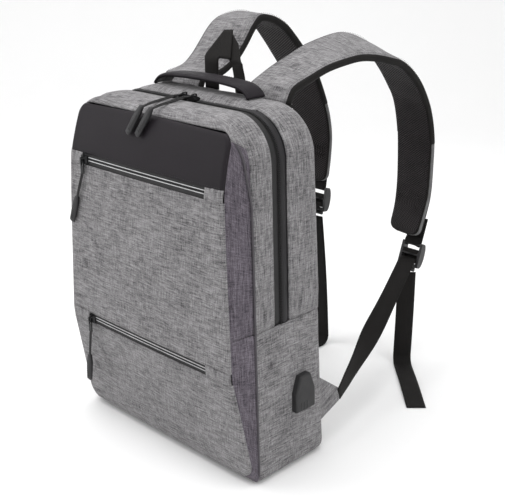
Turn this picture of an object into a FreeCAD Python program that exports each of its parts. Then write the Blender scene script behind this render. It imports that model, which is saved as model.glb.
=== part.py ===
import FreeCAD, Part
import math
import os
import re

import Sketcher
from FreeCAD import Placement, Rotation, Vector

# Laptop backpack standing on its base. Millimetres, +X to the bag's right
# seen from the front, +Y to the back where the shoulder straps are, +Z up.
# The origin is the middle of the base. A depth is counted from the front
# wall of the main compartment towards the back.

SIZES = [
    # main body
    ("body_width_base", 300), ("body_width_top", 269),
    ("body_depth_base", 117), ("body_depth_top", 102),
    ("body_height", 412), ("wall", 3.5),
    ("corner_top", 50), ("corner_bottom", 12),
    ("edge_back", 12), ("edge_front", 6),
    ("board_thick", 2), ("board_gap", 0.3),
    # fold of the front flap and the main zip
    ("fold_height", 184), ("fold_gap", 0.4),
    ("band_start", 30.5), ("band_width", 24), ("band_drop", 0.6),
    ("tape_thick", 1.6), ("coil_gap", 0.8),
    # front pockets, proud of the front wall
    ("foot_proud", 9), ("foot_height", 8),
    ("toe_proud", 22), ("toe_height", 76),
    ("belly_proud", 35), ("belly_height", 138),
    ("chest_proud", 34), ("chest_height", 287),
    ("brow_proud", 32), ("brow_height", 347),
    ("crown_proud", 25), ("crown_drop", 38),
    ("lid_proud", 16), ("lid_drop", 10), ("lid_seam_drop", 3),
    ("pocket_wall", 3), ("pocket_loft", 40),
    ("panel_half_base", 147), ("panel_half_top", 121),
    ("pocket_corner", 16),
    ("zip_low_height", 141), ("zip_high_height", 340), ("zip_mouth", 13),
    ("zip_tape_drop", 0.8), ("zip_tape_thick", 1.5), ("zip_tape_gap", 0.2),
    ("zip_stop_left", 104), ("zip_stop_right", 106), ("zip_end_proud", 1),
    ("pocket_shelf", 1.4),
    ("piping_proud", 1.2), ("piping_start", 1), ("piping_wide", 4),
    ("piping_foot", 6),
    # inside and back
    ("sleeve_front", 76), ("sleeve_thick", 6), ("sleeve_half", 118),
    ("sleeve_height", 300), ("pad_inner", 14), ("pad_outer", 112),
    ("pad_bottom", 40), ("pad_top_drop", 52), ("pad_thick", 9),
    ("pad_gap", 0.3),
    # zip sliders and pulls
    ("slider_long", 11), ("slider_wide", 8.5), ("slider_tall", 4.2),
    ("slider_lift", 0.3), ("slider_nose", 2),
    ("bail_long", 7), ("bail_tall", 3.6), ("bail_thick", 2),
    ("bail_bar", 1), ("pin_radius", 0.7), ("stirrup_gap", 0.5),
    ("stirrup_bar", 1.3), ("stirrup_reach", 7), ("tab_long", 16),
    ("tab_thick", 1.4), ("cord_radius", 1.3), ("cord_long", 31),
    ("grip_long", 38), ("grip_wide", 9), ("grip_thick", 6),
    ("grip_round", 2.4),
    ("slider_high_x", 98), ("slider_low_x", 98), ("slider_main_x", 8),
    ("high_lean", 22), ("low_lean", 6),
    ("main_grip_proud", 18), ("main_grip_rise", 1.2),
    ("cord_gap", 0.7), ("grip_clear", 1.2),
    ("main_grip_lean", 24), ("main_grip_tilt", 18),
    # carry handle and hang loop
    ("handle_depth", 70), ("handle_wide", 30), ("handle_half", 84),
    ("handle_rise", 24), ("handle_thick", 4), ("handle_shoulder", 8),
    ("handle_gap", 0.4),
    ("loop_depth", 99), ("loop_left", 35), ("loop_right", 33),
    ("loop_gap_left", 13), ("loop_gap_right", 11), ("loop_leg", 38),
    ("loop_lean_back", 12), ("loop_top", 60), ("loop_thick", 2),
    ("loop_seat", 1.2),
    # shoulder straps
    ("strap_thick", 10.5), ("right_inner", 35), ("right_outer", 100),
    ("left_inner", 40), ("left_outer", 105), ("strap_seat", 1.8),
    ("strap_bevel", 3), ("strap_toe", 14),
    ("web_wide", 25), ("web_thick", 1.6), ("web_gap", 1),
    ("lock_wide", "=web_wide + 2 * lock_rail"), ("lock_long", 34),
    ("lock_thick", 5),
    ("lock_bulge", 7), ("lock_rail", 4), ("lock_bar", 4.5),
    ("lock_gap", 9), ("lock_lip", 6), ("lock_round", 1.2),
    ("loop_web_long", 16), ("loop_web_lap", 8), ("lock_shift", 12),
    ("tail_left_foot", 74), ("tail_right_foot", 134),
    ("tail_round", 12), ("tail_floor", 0.4), ("tail_turn_right", 44),
    # bottom tabs
    ("tab_root_low", 33), ("tab_root_high", 92), ("tab_reach", 32),
    ("tab_tip_low", 48), ("tab_tip_high", 64), ("tab_side", 5),
    ("side_tab_thick", 4), ("tab_clear", 7),
    # charging port on the right side
    ("hood_low", 72), ("hood_high", 116), ("hood_depth", 70),
    ("hood_half_low", 16), ("hood_half_high", 8.5), ("hood_neck", 20),
    ("hood_proud", 10), ("hood_seat", 0.2), ("hood_round", 2.5),
    ("port_half", 9), ("port_deep", 24), ("port_floor", 1.4),
    ("port_roof", 1.4), ("socket_wide", 14.4), ("socket_tall", 6.6),
    ("socket_wall", 0.5), ("socket_set_in", 7), ("socket_gap", 0.2),
    ("tongue_wide", 11), ("tongue_thick", 1.8), ("tongue_set_in", 2),
]

doc = FreeCAD.newDocument("backpack")
sizes = doc.addObject("Spreadsheet::Sheet", "sizes")
for row, (size_name, size_value) in enumerate(SIZES, 1):
    sizes.set("A%d" % row, size_name.replace("_", " "))
    sizes.set("B%d" % row, str(size_value))
    sizes.setAlias("B%d" % row, size_name)
doc.recompute()
S = {size_name: float(sizes.get(size_name)) for size_name, _ in SIZES}

FRONT = "(-body_depth_base / 2)"
FAR = "700"
parts = []


def bound(text):
    """Point each size name of an expression at the sheet."""
    def point(word):
        name = word.group(0)
        return "sizes." + name if name in S else name
    return re.sub(r"[a-z][a-z0-9_]*", point, text)


def depth(text):
    """Y of a point counted back from the front wall."""
    return "%s + %s" % (FRONT, text)


def bind(item, **values):
    for path, text in values.items():
        item.setExpression(path.replace("__", "."), bound(text))


def put(item, x="0", y="0", z="0"):
    bind(item, Placement__Base__x=x, Placement__Base__y=y, Placement__Base__z=z)


def part(item):
    """Mark an object as a finished sub-part."""
    parts.append(item)
    return item


def box(name, x, y, z):
    item = doc.addObject("Part::Box", name)
    bind(item, Length="(%s) - (%s)" % (x[1], x[0]),
         Width="(%s) - (%s)" % (y[1], y[0]),
         Height="(%s) - (%s)" % (z[1], z[0]))
    put(item, x[0], y[0], z[0])
    return item


def cut(name, base, tool):
    item = doc.addObject("Part::Cut", name)
    item.Base = base
    item.Tool = tool
    return item


def common(name, base, tool):
    item = doc.addObject("Part::Common", name)
    item.Base = base
    item.Tool = tool
    return item


def fuse(name, pieces):
    item = doc.addObject("Part::MultiFuse", name)
    item.Shapes = pieces
    return item


def outline(body, name, role, points, offset=None):
    """Closed polygon sketch whose corners are bound to the sheet."""
    sketch = body.newObject("Sketcher::SketchObject", name)
    plane = [f for f in body.Origin.OriginFeatures if f.Role == role][0]
    sketch.AttachmentSupport = (plane, [""])
    sketch.MapMode = "FlatFace"
    if offset is not None:
        sketch.setExpression("AttachmentOffset.Base.z", bound(offset))
    count = len(points)
    ring = []
    for i in range(count):
        turn = 2 * math.pi * i / count
        ring.append(Vector(50 * math.cos(turn), 50 * math.sin(turn), 0))
    for i in range(count):
        edge = Part.LineSegment(ring[i], ring[(i + 1) % count])
        sketch.addGeometry(edge, False)
    for i in range(count):
        sketch.addConstraint(
            Sketcher.Constraint("Coincident", i, 2, (i + 1) % count, 1))
    for i, (across, up) in enumerate(points):
        for kind, text, start in (("DistanceX", across, ring[i].x),
                                  ("DistanceY", up, ring[i].y)):
            index = sketch.addConstraint(
                Sketcher.Constraint(kind, -1, 1, i, 1, start))
            sketch.setExpression("Constraints[%d]" % index, bound(text))
    return sketch


def slab(name, role, points, length):
    """Polygon on an origin plane, padded equally to both sides."""
    body = doc.addObject("PartDesign::Body", name)
    sketch = outline(body, name + "_outline", role, points)
    pad = body.newObject("PartDesign::Pad", name + "_pad")
    pad.Profile = sketch
    pad.SideType = "Symmetric"
    bind(pad, Length=length)
    doc.recompute()
    return body


def round_edges(body, name, radius, wanted):
    """Fillet the edges of a body whose middle passes the test."""
    edges = []
    for i, edge in enumerate(body.Shape.Edges, 1):
        if wanted(edge, edge.CenterOfMass):
            edges.append("Edge%d" % i)
    base = body.Tip
    fillet = body.newObject("PartDesign::Fillet", name)
    fillet.Base = (base, edges)
    bind(fillet, Radius=radius)
    doc.recompute()
    return body


def runs_along(edge, axis):
    ends = edge.Vertexes
    if len(ends) < 2:
        return False
    line = ends[1].Point - ends[0].Point
    return line.Length > 0 and abs(line.dot(axis)) > 0.99 * line.Length


X_AXIS = Vector(1, 0, 0)
Y_AXIS = Vector(0, 1, 0)
Z_AXIS = Vector(0, 0, 1)


# ---------------------------------------------------------------- main body

def envelope(name, inset):
    """Tapered block with the body's rounded corners, drawn in by inset."""
    half_base = "body_width_base / 2 - %s" % inset
    half_top = "body_width_top / 2 - %s" % inset
    roof = "body_height - %s" % inset
    face = slab(name + "_face", "XZ_Plane",
                [("-(%s)" % half_base, inset), (half_base, inset),
                 (half_top, roof), ("-(%s)" % half_top, roof)],
                "2 * body_depth_base")
    middle = S["body_height"] / 2
    round_edges(face, name + "_top_corners", "corner_top - %s" % inset,
                lambda e, c: runs_along(e, Y_AXIS) and c.z > middle)
    round_edges(face, name + "_low_corners", "corner_bottom - %s" % inset,
                lambda e, c: runs_along(e, Y_AXIS) and c.z < middle)
    side = slab(name + "_side", "YZ_Plane",
                [(depth(inset), inset),
                 (depth("body_depth_base - %s" % inset), inset),
                 (depth("body_depth_top - %s" % inset), roof),
                 (depth(inset), roof)],
                "2 * body_width_base")
    round_edges(side, name + "_back_edges", "edge_back - %s" % inset,
                lambda e, c: runs_along(e, X_AXIS) and c.y > 0)
    round_edges(side, name + "_front_edges", "edge_front - %s" % inset,
                lambda e, c: runs_along(e, X_AXIS) and c.y < 0)
    return common(name, face, side)


outer = envelope("body_outer", "0")
inner = envelope("body_inner", "wall")
tape_outer = envelope("tape_outer", "band_drop")
tape_inner = envelope("tape_inner", "(band_drop + tape_thick)")
piping_outer = envelope("piping_outer", "(-piping_proud)")

skin = cut("body_skin", outer, inner)
WIDE = ("-" + FAR, FAR)
above_fold = "fold_height + fold_gap / 2"
below_fold = "fold_height - fold_gap / 2"
band_end = "(band_start + band_width)"
band_middle = "(band_start + band_width / 2)"

below = box("below_fold", WIDE, ("-" + FAR, FAR), ("-10", below_fold))
behind = box("behind_zip", WIDE, (depth(band_end), FAR), (below_fold, FAR))
ahead = box("ahead_of_zip", WIDE, ("-" + FAR, depth("band_start")),
            (above_fold, FAR))
band_back = box("band_back", WIDE,
                (depth(band_middle + " + coil_gap / 2"), depth(band_end)),
                (below_fold, FAR))
band_front = box("band_front", WIDE,
                 (depth("band_start"), depth(band_middle + " - coil_gap / 2")),
                 (above_fold, FAR))

part(common("lower_shell", skin, below))
part(common("rear_shell", skin, behind))
part(common("flap_shell", skin, ahead))
tape_skin = cut("tape_skin", tape_outer, tape_inner)
part(common("zip_tape_rear", tape_skin, band_back))
part(common("zip_tape_front", tape_skin, band_front))

board_edge = "(wall + corner_bottom - wall + board_gap)"
part(box("base_board",
         ("-(body_width_base / 2 - %s)" % board_edge,
          "body_width_base / 2 - " + board_edge),
         (depth(board_edge), depth("body_depth_base - " + board_edge)),
         ("wall + board_gap", "wall + board_gap + board_thick")))

part(box("laptop_sleeve", ("-sleeve_half", "sleeve_half"),
         (depth("sleeve_front"), depth("sleeve_front + sleeve_thick")),
         ("wall + 2 * board_gap + board_thick", "sleeve_height")))

# Two foam pads on the back, following its slope.
back_lean = math.degrees(math.atan2(
    S["body_depth_base"] - S["body_depth_top"], S["body_height"]))
for side_name, sign in (("left", -1), ("right", 1)):
    pad = box("back_pad_" + side_name,
              ("0", "pad_outer - pad_inner"), ("0", "pad_thick"),
              ("0", "body_height - pad_top_drop - pad_bottom"))
    pad.setExpression("Placement", None)
    for path in ("x", "y", "z"):
        pad.setExpression("Placement.Base." + path, None)
    low = S["pad_bottom"]
    wall_y = (S["body_depth_base"] / 2
              - low * math.tan(math.radians(back_lean)) + S["pad_gap"])
    start = S["pad_inner"] if sign > 0 else -S["pad_outer"]
    pad.Placement = Placement(Vector(start, wall_y, low),
                              Rotation(X_AXIS, back_lean))
    part(pad)

# ------------------------------------------------------------ front pockets

PROFILE = [("foot_proud", "foot_height"), ("toe_proud", "toe_height"),
           ("belly_proud", "belly_height"), ("chest_proud", "chest_height"),
           ("brow_proud", "brow_height"),
           ("crown_proud", "(body_height - crown_drop)"),
           ("lid_proud", "(body_height - lid_drop)")]


def pocket_line(inset):
    """Side profile of the pocket front, drawn in by inset."""
    line = []
    for i, (proud, height) in enumerate(PROFILE):
        if i == 0:
            height = "%s + %s" % (height, inset)
        if i == len(PROFILE) - 1:
            height = "%s - %s" % (height, inset)
        line.append((depth("(-%s) + %s" % (proud, inset)), height))
    low_seam = (depth("0"), "foot_height - 2 + " + inset)
    high_seam = (depth("0"), "body_height - lid_seam_drop - " + inset)
    return [low_seam] + line + [high_seam]


def pocket_skin(name, outside, inside):
    points = pocket_line(outside) + list(reversed(pocket_line(inside)))
    return slab(name, "YZ_Plane", points, "2 * body_width_base")


def pocket_plan(name, inset):
    """Front outline that narrows from the piping to the panel edge."""
    body = doc.addObject("PartDesign::Body", name)
    rows = []
    for half_low, half_high in (("body_width_base / 2", "body_width_top / 2"),
                                ("panel_half_base", "panel_half_top")):
        rows.append([("-(%s - %s)" % (half_low, inset), "0"),
                     ("%s - %s" % (half_low, inset), "0"),
                     ("%s - %s" % (half_high, inset), "body_height"),
                     ("-(%s - %s)" % (half_high, inset), "body_height")])
    near = outline(body, name + "_seam", "XZ_Plane", rows[0],
                   "body_depth_base / 2")
    far = outline(body, name + "_edge", "XZ_Plane", rows[1],
                  "body_depth_base / 2 + pocket_loft")
    loft = body.newObject("PartDesign::AdditiveLoft", name + "_loft")
    loft.Profile = near
    loft.Sections = [far]
    loft.Ruled = True
    doc.recompute()
    round_edges(body, name + "_corners", "pocket_corner - %s" % inset,
                lambda e, c: runs_along(e, Y_AXIS) or
                (abs(c.z) < 1 and abs(c.x) > S["panel_half_base"] - 20
                 and abs(c.y) > S["body_depth_base"] / 2 + 1))
    return body


plan_outer = pocket_plan("pocket_plan_outer", "piping_start")
plan_inner = pocket_plan("pocket_plan_inner", "(piping_start + pocket_wall)")
front_skin = common("pocket_front_skin",
                    pocket_skin("pocket_wrap", "0", "pocket_wall"), plan_outer)
tape_wrap = common("pocket_tape_skin",
                   pocket_skin("pocket_tape_wrap", "zip_tape_drop",
                               "(zip_tape_drop + zip_tape_thick)"),
                   plan_outer)
pocket_core = slab("pocket_core", "YZ_Plane", pocket_line("pocket_wall"),
                   "2 * body_width_base")
side_ring = common("gusset_ring", cut("gusset_plan", plan_outer, plan_inner),
                   pocket_core)

low_from = "zip_low_height - zip_mouth / 2"
low_to = "zip_low_height + zip_mouth / 2"
high_from = "zip_high_height - zip_mouth / 2"
high_to = "zip_high_height + zip_mouth / 2"


def band_of(name, source, low, high, x=WIDE):
    region = box(name + "_region", x, ("-" + FAR, depth("0")), (low, high))
    return common(name, source, region)


part(band_of("pocket_panel_low", front_skin, "0", low_from))
part(band_of("pocket_panel_mid", front_skin, low_to, below_fold))
part(band_of("pocket_panel_high", front_skin, above_fold, high_from))
part(band_of("yoke_panel", front_skin, high_to, FAR))
part(band_of("pocket_zip_tape_low", tape_wrap, low_from + " + zip_tape_gap",
             low_to + " - zip_tape_gap"))
part(band_of("pocket_zip_tape_high", tape_wrap, high_from + " + zip_tape_gap",
             high_to + " - zip_tape_gap"))
for side_name, span in (("left", ("-" + FAR, "0")), ("right", ("0", FAR))):
    part(band_of("gusset_low_" + side_name, side_ring, "0", below_fold, span))
    part(band_of("gusset_high_" + side_name, side_ring, above_fold, FAR, span))

shelf_core = common("shelf_core", plan_inner, pocket_core)
part(band_of("pocket_roof_low", shelf_core, below_fold + " - pocket_shelf",
             below_fold))
part(band_of("pocket_floor_high", shelf_core, above_fold,
             above_fold + " + pocket_shelf"))

# Piping round the front corner of the body.
piping_ring = cut("piping_ring", piping_outer, outer)
piping_rows = (depth("piping_start"), depth("piping_start + piping_wide"))
part(common("piping_high", piping_ring,
            box("piping_high_region", WIDE, piping_rows, (above_fold, FAR))))
for side_name, span in (("left", ("-" + FAR, "0")), ("right", ("0", FAR))):
    region = box("piping_%s_region" % side_name, span, piping_rows,
                 ("piping_foot", below_fold))
    part(common("piping_low_" + side_name, piping_ring, region))

# Grey tabs that cover both ends of each pocket zip.
zip_cover = common("zip_cover_skin",
                   pocket_skin("zip_cover_wrap", "(-zip_end_proud)",
                               "(zip_tape_drop - zip_tape_gap)"),
                   plan_outer)


def zip_ends(name, low, high):
    ends = []
    for tag, span in (("a", ("-" + FAR, "-zip_stop_left")),
                      ("b", ("zip_stop_right", FAR))):
        ends.append(band_of("%s_%s" % (name, tag), zip_cover,
                            low + " + zip_tape_gap", high + " - zip_tape_gap",
                            span))
    return part(fuse(name, ends))


zip_ends("zip_ends_low", low_from, low_to)
zip_ends("zip_ends_high", high_from, high_to)


# --------------------------------------------------- zip sliders and pulls

def placed(item, origin, turn):
    """Move a piece built about the slider's own origin into its place."""
    item.Placement = Placement(origin, turn).multiply(item.Placement)
    return item


def slider(name, origin, turn):
    """Slider block with a bail that arches across the tape."""
    block = slab(name + "_block", "XZ_Plane",
                 [("-slider_long / 2", "slider_lift"),
                  ("slider_long / 2", "slider_lift"),
                  ("slider_long / 2", "slider_tall - slider_nose"),
                  ("slider_long / 2 - slider_nose", "slider_tall"),
                  ("slider_nose - slider_long / 2", "slider_tall"),
                  ("-slider_long / 2", "slider_tall - slider_nose")],
                 "slider_wide")
    bail = slab(name + "_bail", "YZ_Plane",
                [("-bail_long / 2", "slider_tall"),
                 ("bail_long / 2", "slider_tall"),
                 ("bail_long / 2", "slider_tall + bail_tall - bail_bar"),
                 ("bail_long / 2 - bail_bar", "slider_tall + bail_tall"),
                 ("bail_bar - bail_long / 2", "slider_tall + bail_tall"),
                 ("-bail_long / 2", "slider_tall + bail_tall - bail_bar")],
                "bail_thick")
    eye = box(name + "_eye", ("-bail_thick", "bail_thick"),
              ("bail_bar - bail_long / 2", "bail_long / 2 - bail_bar"),
              ("slider_tall", "slider_tall + bail_tall - bail_bar"))
    arch = cut(name + "_arch", bail, eye)
    item = fuse(name, [block, arch])
    doc.recompute()
    return part(placed(item, origin, turn))


def pull_tab(name, origin, turn):
    """Stirrup that straddles the bail, with its pin through the eye."""
    inside = "bail_thick / 2 + stirrup_gap"
    reach = "(%s + stirrup_bar)" % inside
    thick = ("-tab_thick / 2", "tab_thick / 2")
    pieces = [box(name + "_plate", ("-" + reach, reach),
                  ("-tab_long", "-stirrup_reach"), thick)]
    for tag, span in (("a", ("-" + reach, "-(%s)" % inside)),
                      ("b", (inside, reach))):
        pieces.append(box(name + "_bar_" + tag, span,
                          ("-stirrup_reach", "tab_thick / 2"), thick))
    pin = doc.addObject("Part::Cylinder", name + "_pin")
    bind(pin, Radius="pin_radius", Height="2 * " + reach)
    put(pin, x="-" + reach)
    pin.Placement.Rotation = Rotation(Y_AXIS, 90)
    item = fuse(name, pieces + [pin])
    doc.recompute()
    return part(placed(item, origin, turn))


def pull_cord(name, start, end):
    item = doc.addObject("Part::Cylinder", name)
    bind(item, Radius="cord_radius")
    item.Height = (end - start).Length
    item.Placement = Placement(start, Rotation(Z_AXIS, end - start))
    return part(item)


def pull_grip(name, start, along, face):
    """Moulded grip from start, long way along, thin way towards face."""
    body = slab(name, "XY_Plane",
                [("-grip_wide / 2", "0"), ("grip_wide / 2", "0"),
                 ("grip_wide / 2", "grip_long"),
                 ("-grip_wide / 2", "grip_long")], "grip_thick")
    round_edges(body, name + "_edges", "grip_round",
                lambda e, c: runs_along(e, Y_AXIS) or runs_along(e, Z_AXIS))
    side = along.cross(face)
    body.Placement = Placement(start, Rotation(side, along, face, "ZXY"))
    return part(body)


hinge_lift = (S["slider_tall"] + (S["bail_tall"] - S["bail_bar"]) / 2)
front_y = -S["body_depth_base"] / 2
FACE_FRONT = Rotation(X_AXIS, 90)
FACE_UP = Rotation()


def proud_at(height):
    """How far the pocket front stands out at a height."""
    rows = []
    for proud, at in PROFILE:
        tall = S["body_height"] - S["crown_drop"]
        if at in S:
            tall = S[at]
        elif "lid_drop" in at:
            tall = S["body_height"] - S["lid_drop"]
        rows.append((tall, S[proud]))
    for (z0, p0), (z1, p1) in zip(rows, rows[1:]):
        if z0 <= height <= z1:
            return p0 + (p1 - p0) * (height - z0) / (z1 - z0)
    return rows[-1][1]


def pocket_pull(tag, x, height, lean):
    """Slider on a pocket zip and the pull that hangs from it."""
    tops = [proud_at(height + step * S["slider_wide"] / 2) for step in (-1, 1)]
    seat = front_y - max(tops) + S["zip_tape_drop"] - S["zip_tape_gap"]
    slider("slider_" + tag, Vector(x, seat, height), FACE_FRONT)
    hinge = Vector(x, seat - hinge_lift, height)
    pull_tab("pull_tab_" + tag, hinge, FACE_FRONT)
    top = hinge - Z_AXIS * S["tab_long"]
    way = Vector(-math.sin(math.radians(lean)), 0,
                 -math.cos(math.radians(lean)))
    end = top + way * S["cord_long"] - Y_AXIS * S["grip_clear"]
    run = (end - top).normalize() * S["cord_gap"]
    pull_cord("pull_cord_" + tag, top + run, end - run)
    pull_grip("pull_grip_" + tag, end, way, Vector(0, -1, 0))
    return hinge


def main_pull(tag, x):
    """Slider on the main zip; its pull falls over the front edge."""
    mid = front_y + S["band_start"] + S["band_width"] / 2
    seat = S["body_height"] - S["band_drop"]
    slider("slider_" + tag, Vector(x, mid, seat), FACE_UP)
    hinge = Vector(x, mid, seat + hinge_lift)
    pull_tab("pull_tab_" + tag, hinge, FACE_UP)
    start = hinge - Y_AXIS * S["tab_long"]
    end = Vector(x, front_y - S["main_grip_proud"],
                 S["body_height"] + S["main_grip_rise"])
    run = (end - start).normalize() * S["cord_gap"]
    pull_cord("pull_cord_" + tag, start + run, end - 5 * run)
    tilt = math.radians(S["main_grip_tilt"])
    lean = math.radians(S["main_grip_lean"])
    way = Vector(-math.sin(lean), -math.sin(tilt) * math.cos(lean),
                 -math.cos(tilt) * math.cos(lean))
    out = Vector(0, -math.cos(tilt), math.sin(tilt))
    pull_grip("pull_grip_" + tag, end, way, out)
    return hinge


hinges = {}
hinges["pull_high"] = pocket_pull("high", -S["slider_high_x"],
                                  S["zip_high_height"], S["high_lean"])
hinges["pull_low"] = pocket_pull("low", -S["slider_low_x"],
                                 S["zip_low_height"], S["low_lean"])
hinges["pull_main_left"] = main_pull("main_left", -S["slider_main_x"])
hinges["pull_main_right"] = main_pull("main_right", S["slider_main_x"])

# ------------------------------------------------ carry handle, hang loop

seat_z = "body_height + handle_gap"
handle_top = "body_height + handle_rise"
handle = slab("carry_handle", "XZ_Plane",
              [("-handle_half", seat_z),
               ("-handle_half + handle_thick", seat_z),
               ("-handle_half + handle_thick + handle_shoulder",
                handle_top + " - handle_thick"),
               ("handle_half - handle_thick - handle_shoulder",
                handle_top + " - handle_thick"),
               ("handle_half - handle_thick", seat_z),
               ("handle_half", seat_z),
               ("handle_half - handle_shoulder", handle_top),
               ("handle_shoulder - handle_half", handle_top)],
              "handle_wide")
put(handle, y=depth("handle_depth"))
part(handle)

loop_base = "body_height + loop_seat"
loop_bend = "body_height + loop_leg"
loop_tip = "body_height + loop_top"
ribbon = slab("loop_ribbon", "YZ_Plane",
              [(depth("loop_depth"), loop_base),
               (depth("loop_depth + loop_thick"), loop_base),
               (depth("loop_depth + loop_thick"), loop_bend),
               (depth("loop_depth + loop_thick + loop_lean_back"), loop_tip),
               (depth("loop_depth + loop_lean_back"), loop_tip),
               (depth("loop_depth"), loop_bend)],
              "loop_left + loop_right")
put(ribbon, x="(loop_right - loop_left) / 2")
hole = box("loop_hole", ("-loop_gap_left", "loop_gap_right"),
           (depth("0"), FAR), ("0", "body_height + loop_leg - 2"))
part(cut("hang_loop", ribbon, hole))

# ---------------------------------------------------------- shoulder straps
# Each row gives the strap's outer face at its outer and its inner edge, as
# depth back from the top rear seam and height over the top of the body.

RIGHT_STRAP = [((-3, 14), (-3, 14)), ((4, 20), (6, 19)), ((30, 28), (34, 31)),
               ((60, 36), (63, 41)), ((94, 40), (91, 50)),
               ((123, 41), (137, 58)), ((154, 37), (166, 58)),
               ((185, 30), (196, 50)), ((206, 24), (224, 33)),
               ((229, 9), (246, 13)), ((251, -12), (267, -11)),
               ((272, -45), (286, -38)), ((284, -84), (298, -78)),
               ((286, -122), (303, -118)), ((285, -162), (305, -160)),
               ((278, -187), (303, -192)), ((270, -207), (297, -214))]
LEFT_STRAP = [((-3, 14), (-3, 14)), ((8, 16), (12, 16)), ((24, 20), (34, 22)),
              ((39, 31), (54, 34)), ((54, 47), (68, 48)),
              ((68, 62), (82, 66)), ((84, 72), (96, 78)),
              ((110, 77), (115, 77)), ((133, 76), (134, 70)),
              ((153, 66), (151, 59)), ((175, 43), (176, 35)),
              ((191, 24), (193, 16)), ((208, 2), (210, -8)),
              ((228, -38), (227, -41)), ((239, -67), (238, -70)),
              ((245, -94), (243, -98)), ((246, -122), (242, -127)),
              ((242, -150), (239, -150))]


def strap_frames(rows, x_outer, x_inner):
    """Edge points, outward normal and thickness way of each row."""
    root_y = front_y + S["body_depth_top"]
    root_z = S["body_height"]
    edges = []
    for outer_edge, inner_edge in rows:
        edges.append((Vector(x_outer, root_y + outer_edge[0],
                             root_z + outer_edge[1]),
                      Vector(x_inner, root_y + inner_edge[0],
                             root_z + inner_edge[1])))
    frames = []
    for i, (a, b) in enumerate(edges):
        before = edges[max(i - 1, 0)]
        after = edges[min(i + 1, len(edges) - 1)]
        along = (after[0] + after[1] - before[0] - before[1]).normalize()
        across = (b - a)
        across = (across - along * across.dot(along)).normalize()
        out = along.cross(across)
        if out.z < 0 and i < len(edges) / 2:
            out = out * -1
        if frames and out.dot(frames[-1][2]) < 0:
            out = out * -1
        frames.append((a, b, out, along))
    return frames


def strap_section(a, b, out, narrow):
    """Eight sided section: flat faces with bevelled long edges."""
    bevel = S["strap_bevel"]
    thick = S["strap_thick"]
    across = (b - a).normalize()
    a = a + across * narrow
    b = b - across * narrow
    points = [a - out * bevel, a + across * bevel, b - across * bevel,
              b - out * bevel, b - out * (thick - bevel),
              b - across * bevel - out * thick,
              a + across * bevel - out * thick, a - out * (thick - bevel)]
    return Part.makePolygon(points + [points[0]])


def strap(name, rows, x_outer, x_inner):
    frames = strap_frames(rows, x_outer, x_inner)
    wires = []
    for i, (a, b, out, along) in enumerate(frames):
        wires.append(strap_section(a, b, out, 0))
    a, b, out, along = frames[-1]
    toe = S["strap_toe"]
    wires.append(strap_section(a + along * toe, b + along * toe, out, toe))
    item = doc.addObject("Part::Feature", name)
    item.Shape = Part.makeLoft(wires, True, True)
    item.Placement = Placement()
    part(item)
    tip = (a + b) / 2 + along * toe - out * (S["strap_thick"] / 2)
    return tip, along, out, frames


def ribbon_between(name, start, end, across_start, across_end):
    """Flat webbing pulled straight between two anchor lines."""
    half = S["web_wide"] / 2
    run = (end - start).normalize()
    wires = []
    for step in range(9):
        point = start + (end - start) * (step / 8)
        across = across_start * (1 - step / 8) + across_end * (step / 8)
        across = (across - run * across.dot(run)).normalize()
        thin = run.cross(across).normalize() * (S["web_thick"] / 2)
        ring = [point - across * half - thin, point + across * half - thin,
                point + across * half + thin, point - across * half + thin]
        wires.append(Part.makePolygon(ring + [ring[0]]))
    item = doc.addObject("Part::Feature", name)
    item.Shape = Part.makeLoft(wires, True, True)
    item.Placement = Placement()
    return part(item)


def ladder_lock(name, origin, turn):
    """Buckle with two cheeks, three bars and a lifting lip.

    Its own Z runs from the upper bar down the buckle, its Y points out of
    the back of the strap.
    """
    length = "lock_long"
    cheeks = []
    for tag, low, high in (("a", "-lock_wide / 2", "lock_rail - lock_wide / 2"),
                           ("b", "lock_wide / 2 - lock_rail", "lock_wide / 2")):
        side = slab("%s_cheek_%s" % (name, tag), "YZ_Plane",
                    [("-lock_thick / 2", "0"), ("lock_thick / 2", "0"),
                     ("lock_bulge", "lock_long * 0.3"),
                     ("lock_bulge", "lock_long * 0.62"),
                     ("lock_thick / 2", length), ("-lock_thick / 2", length)],
                    "lock_rail")
        put(side, x="(%s + %s) / 2" % (low, high))
        cheeks.append(side)
    bars = []
    rows = (("top", "0", "lock_bar"),
            ("middle", "lock_bar + lock_gap", "2 * lock_bar + lock_gap"),
            ("bottom", "lock_long - lock_bar", "lock_long"))
    for tag, low, high in rows:
        bars.append(box("%s_bar_%s" % (name, tag),
                        ("lock_rail - lock_wide / 2",
                         "lock_wide / 2 - lock_rail"),
                        ("-lock_thick / 2", "lock_thick / 2"), (low, high)))
    lip = slab(name + "_lip", "YZ_Plane",
               [("-lock_thick / 2", "lock_long"),
                ("lock_thick / 2", "lock_long"),
                ("lock_thick / 2 + 3", "lock_long + lock_lip"),
                ("lock_thick / 2", "lock_long + lock_lip")],
               "lock_wide * 0.6")
    item = fuse(name, cheeks + bars + [lip])
    doc.recompute()
    return part(placed(item, origin, turn))


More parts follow.
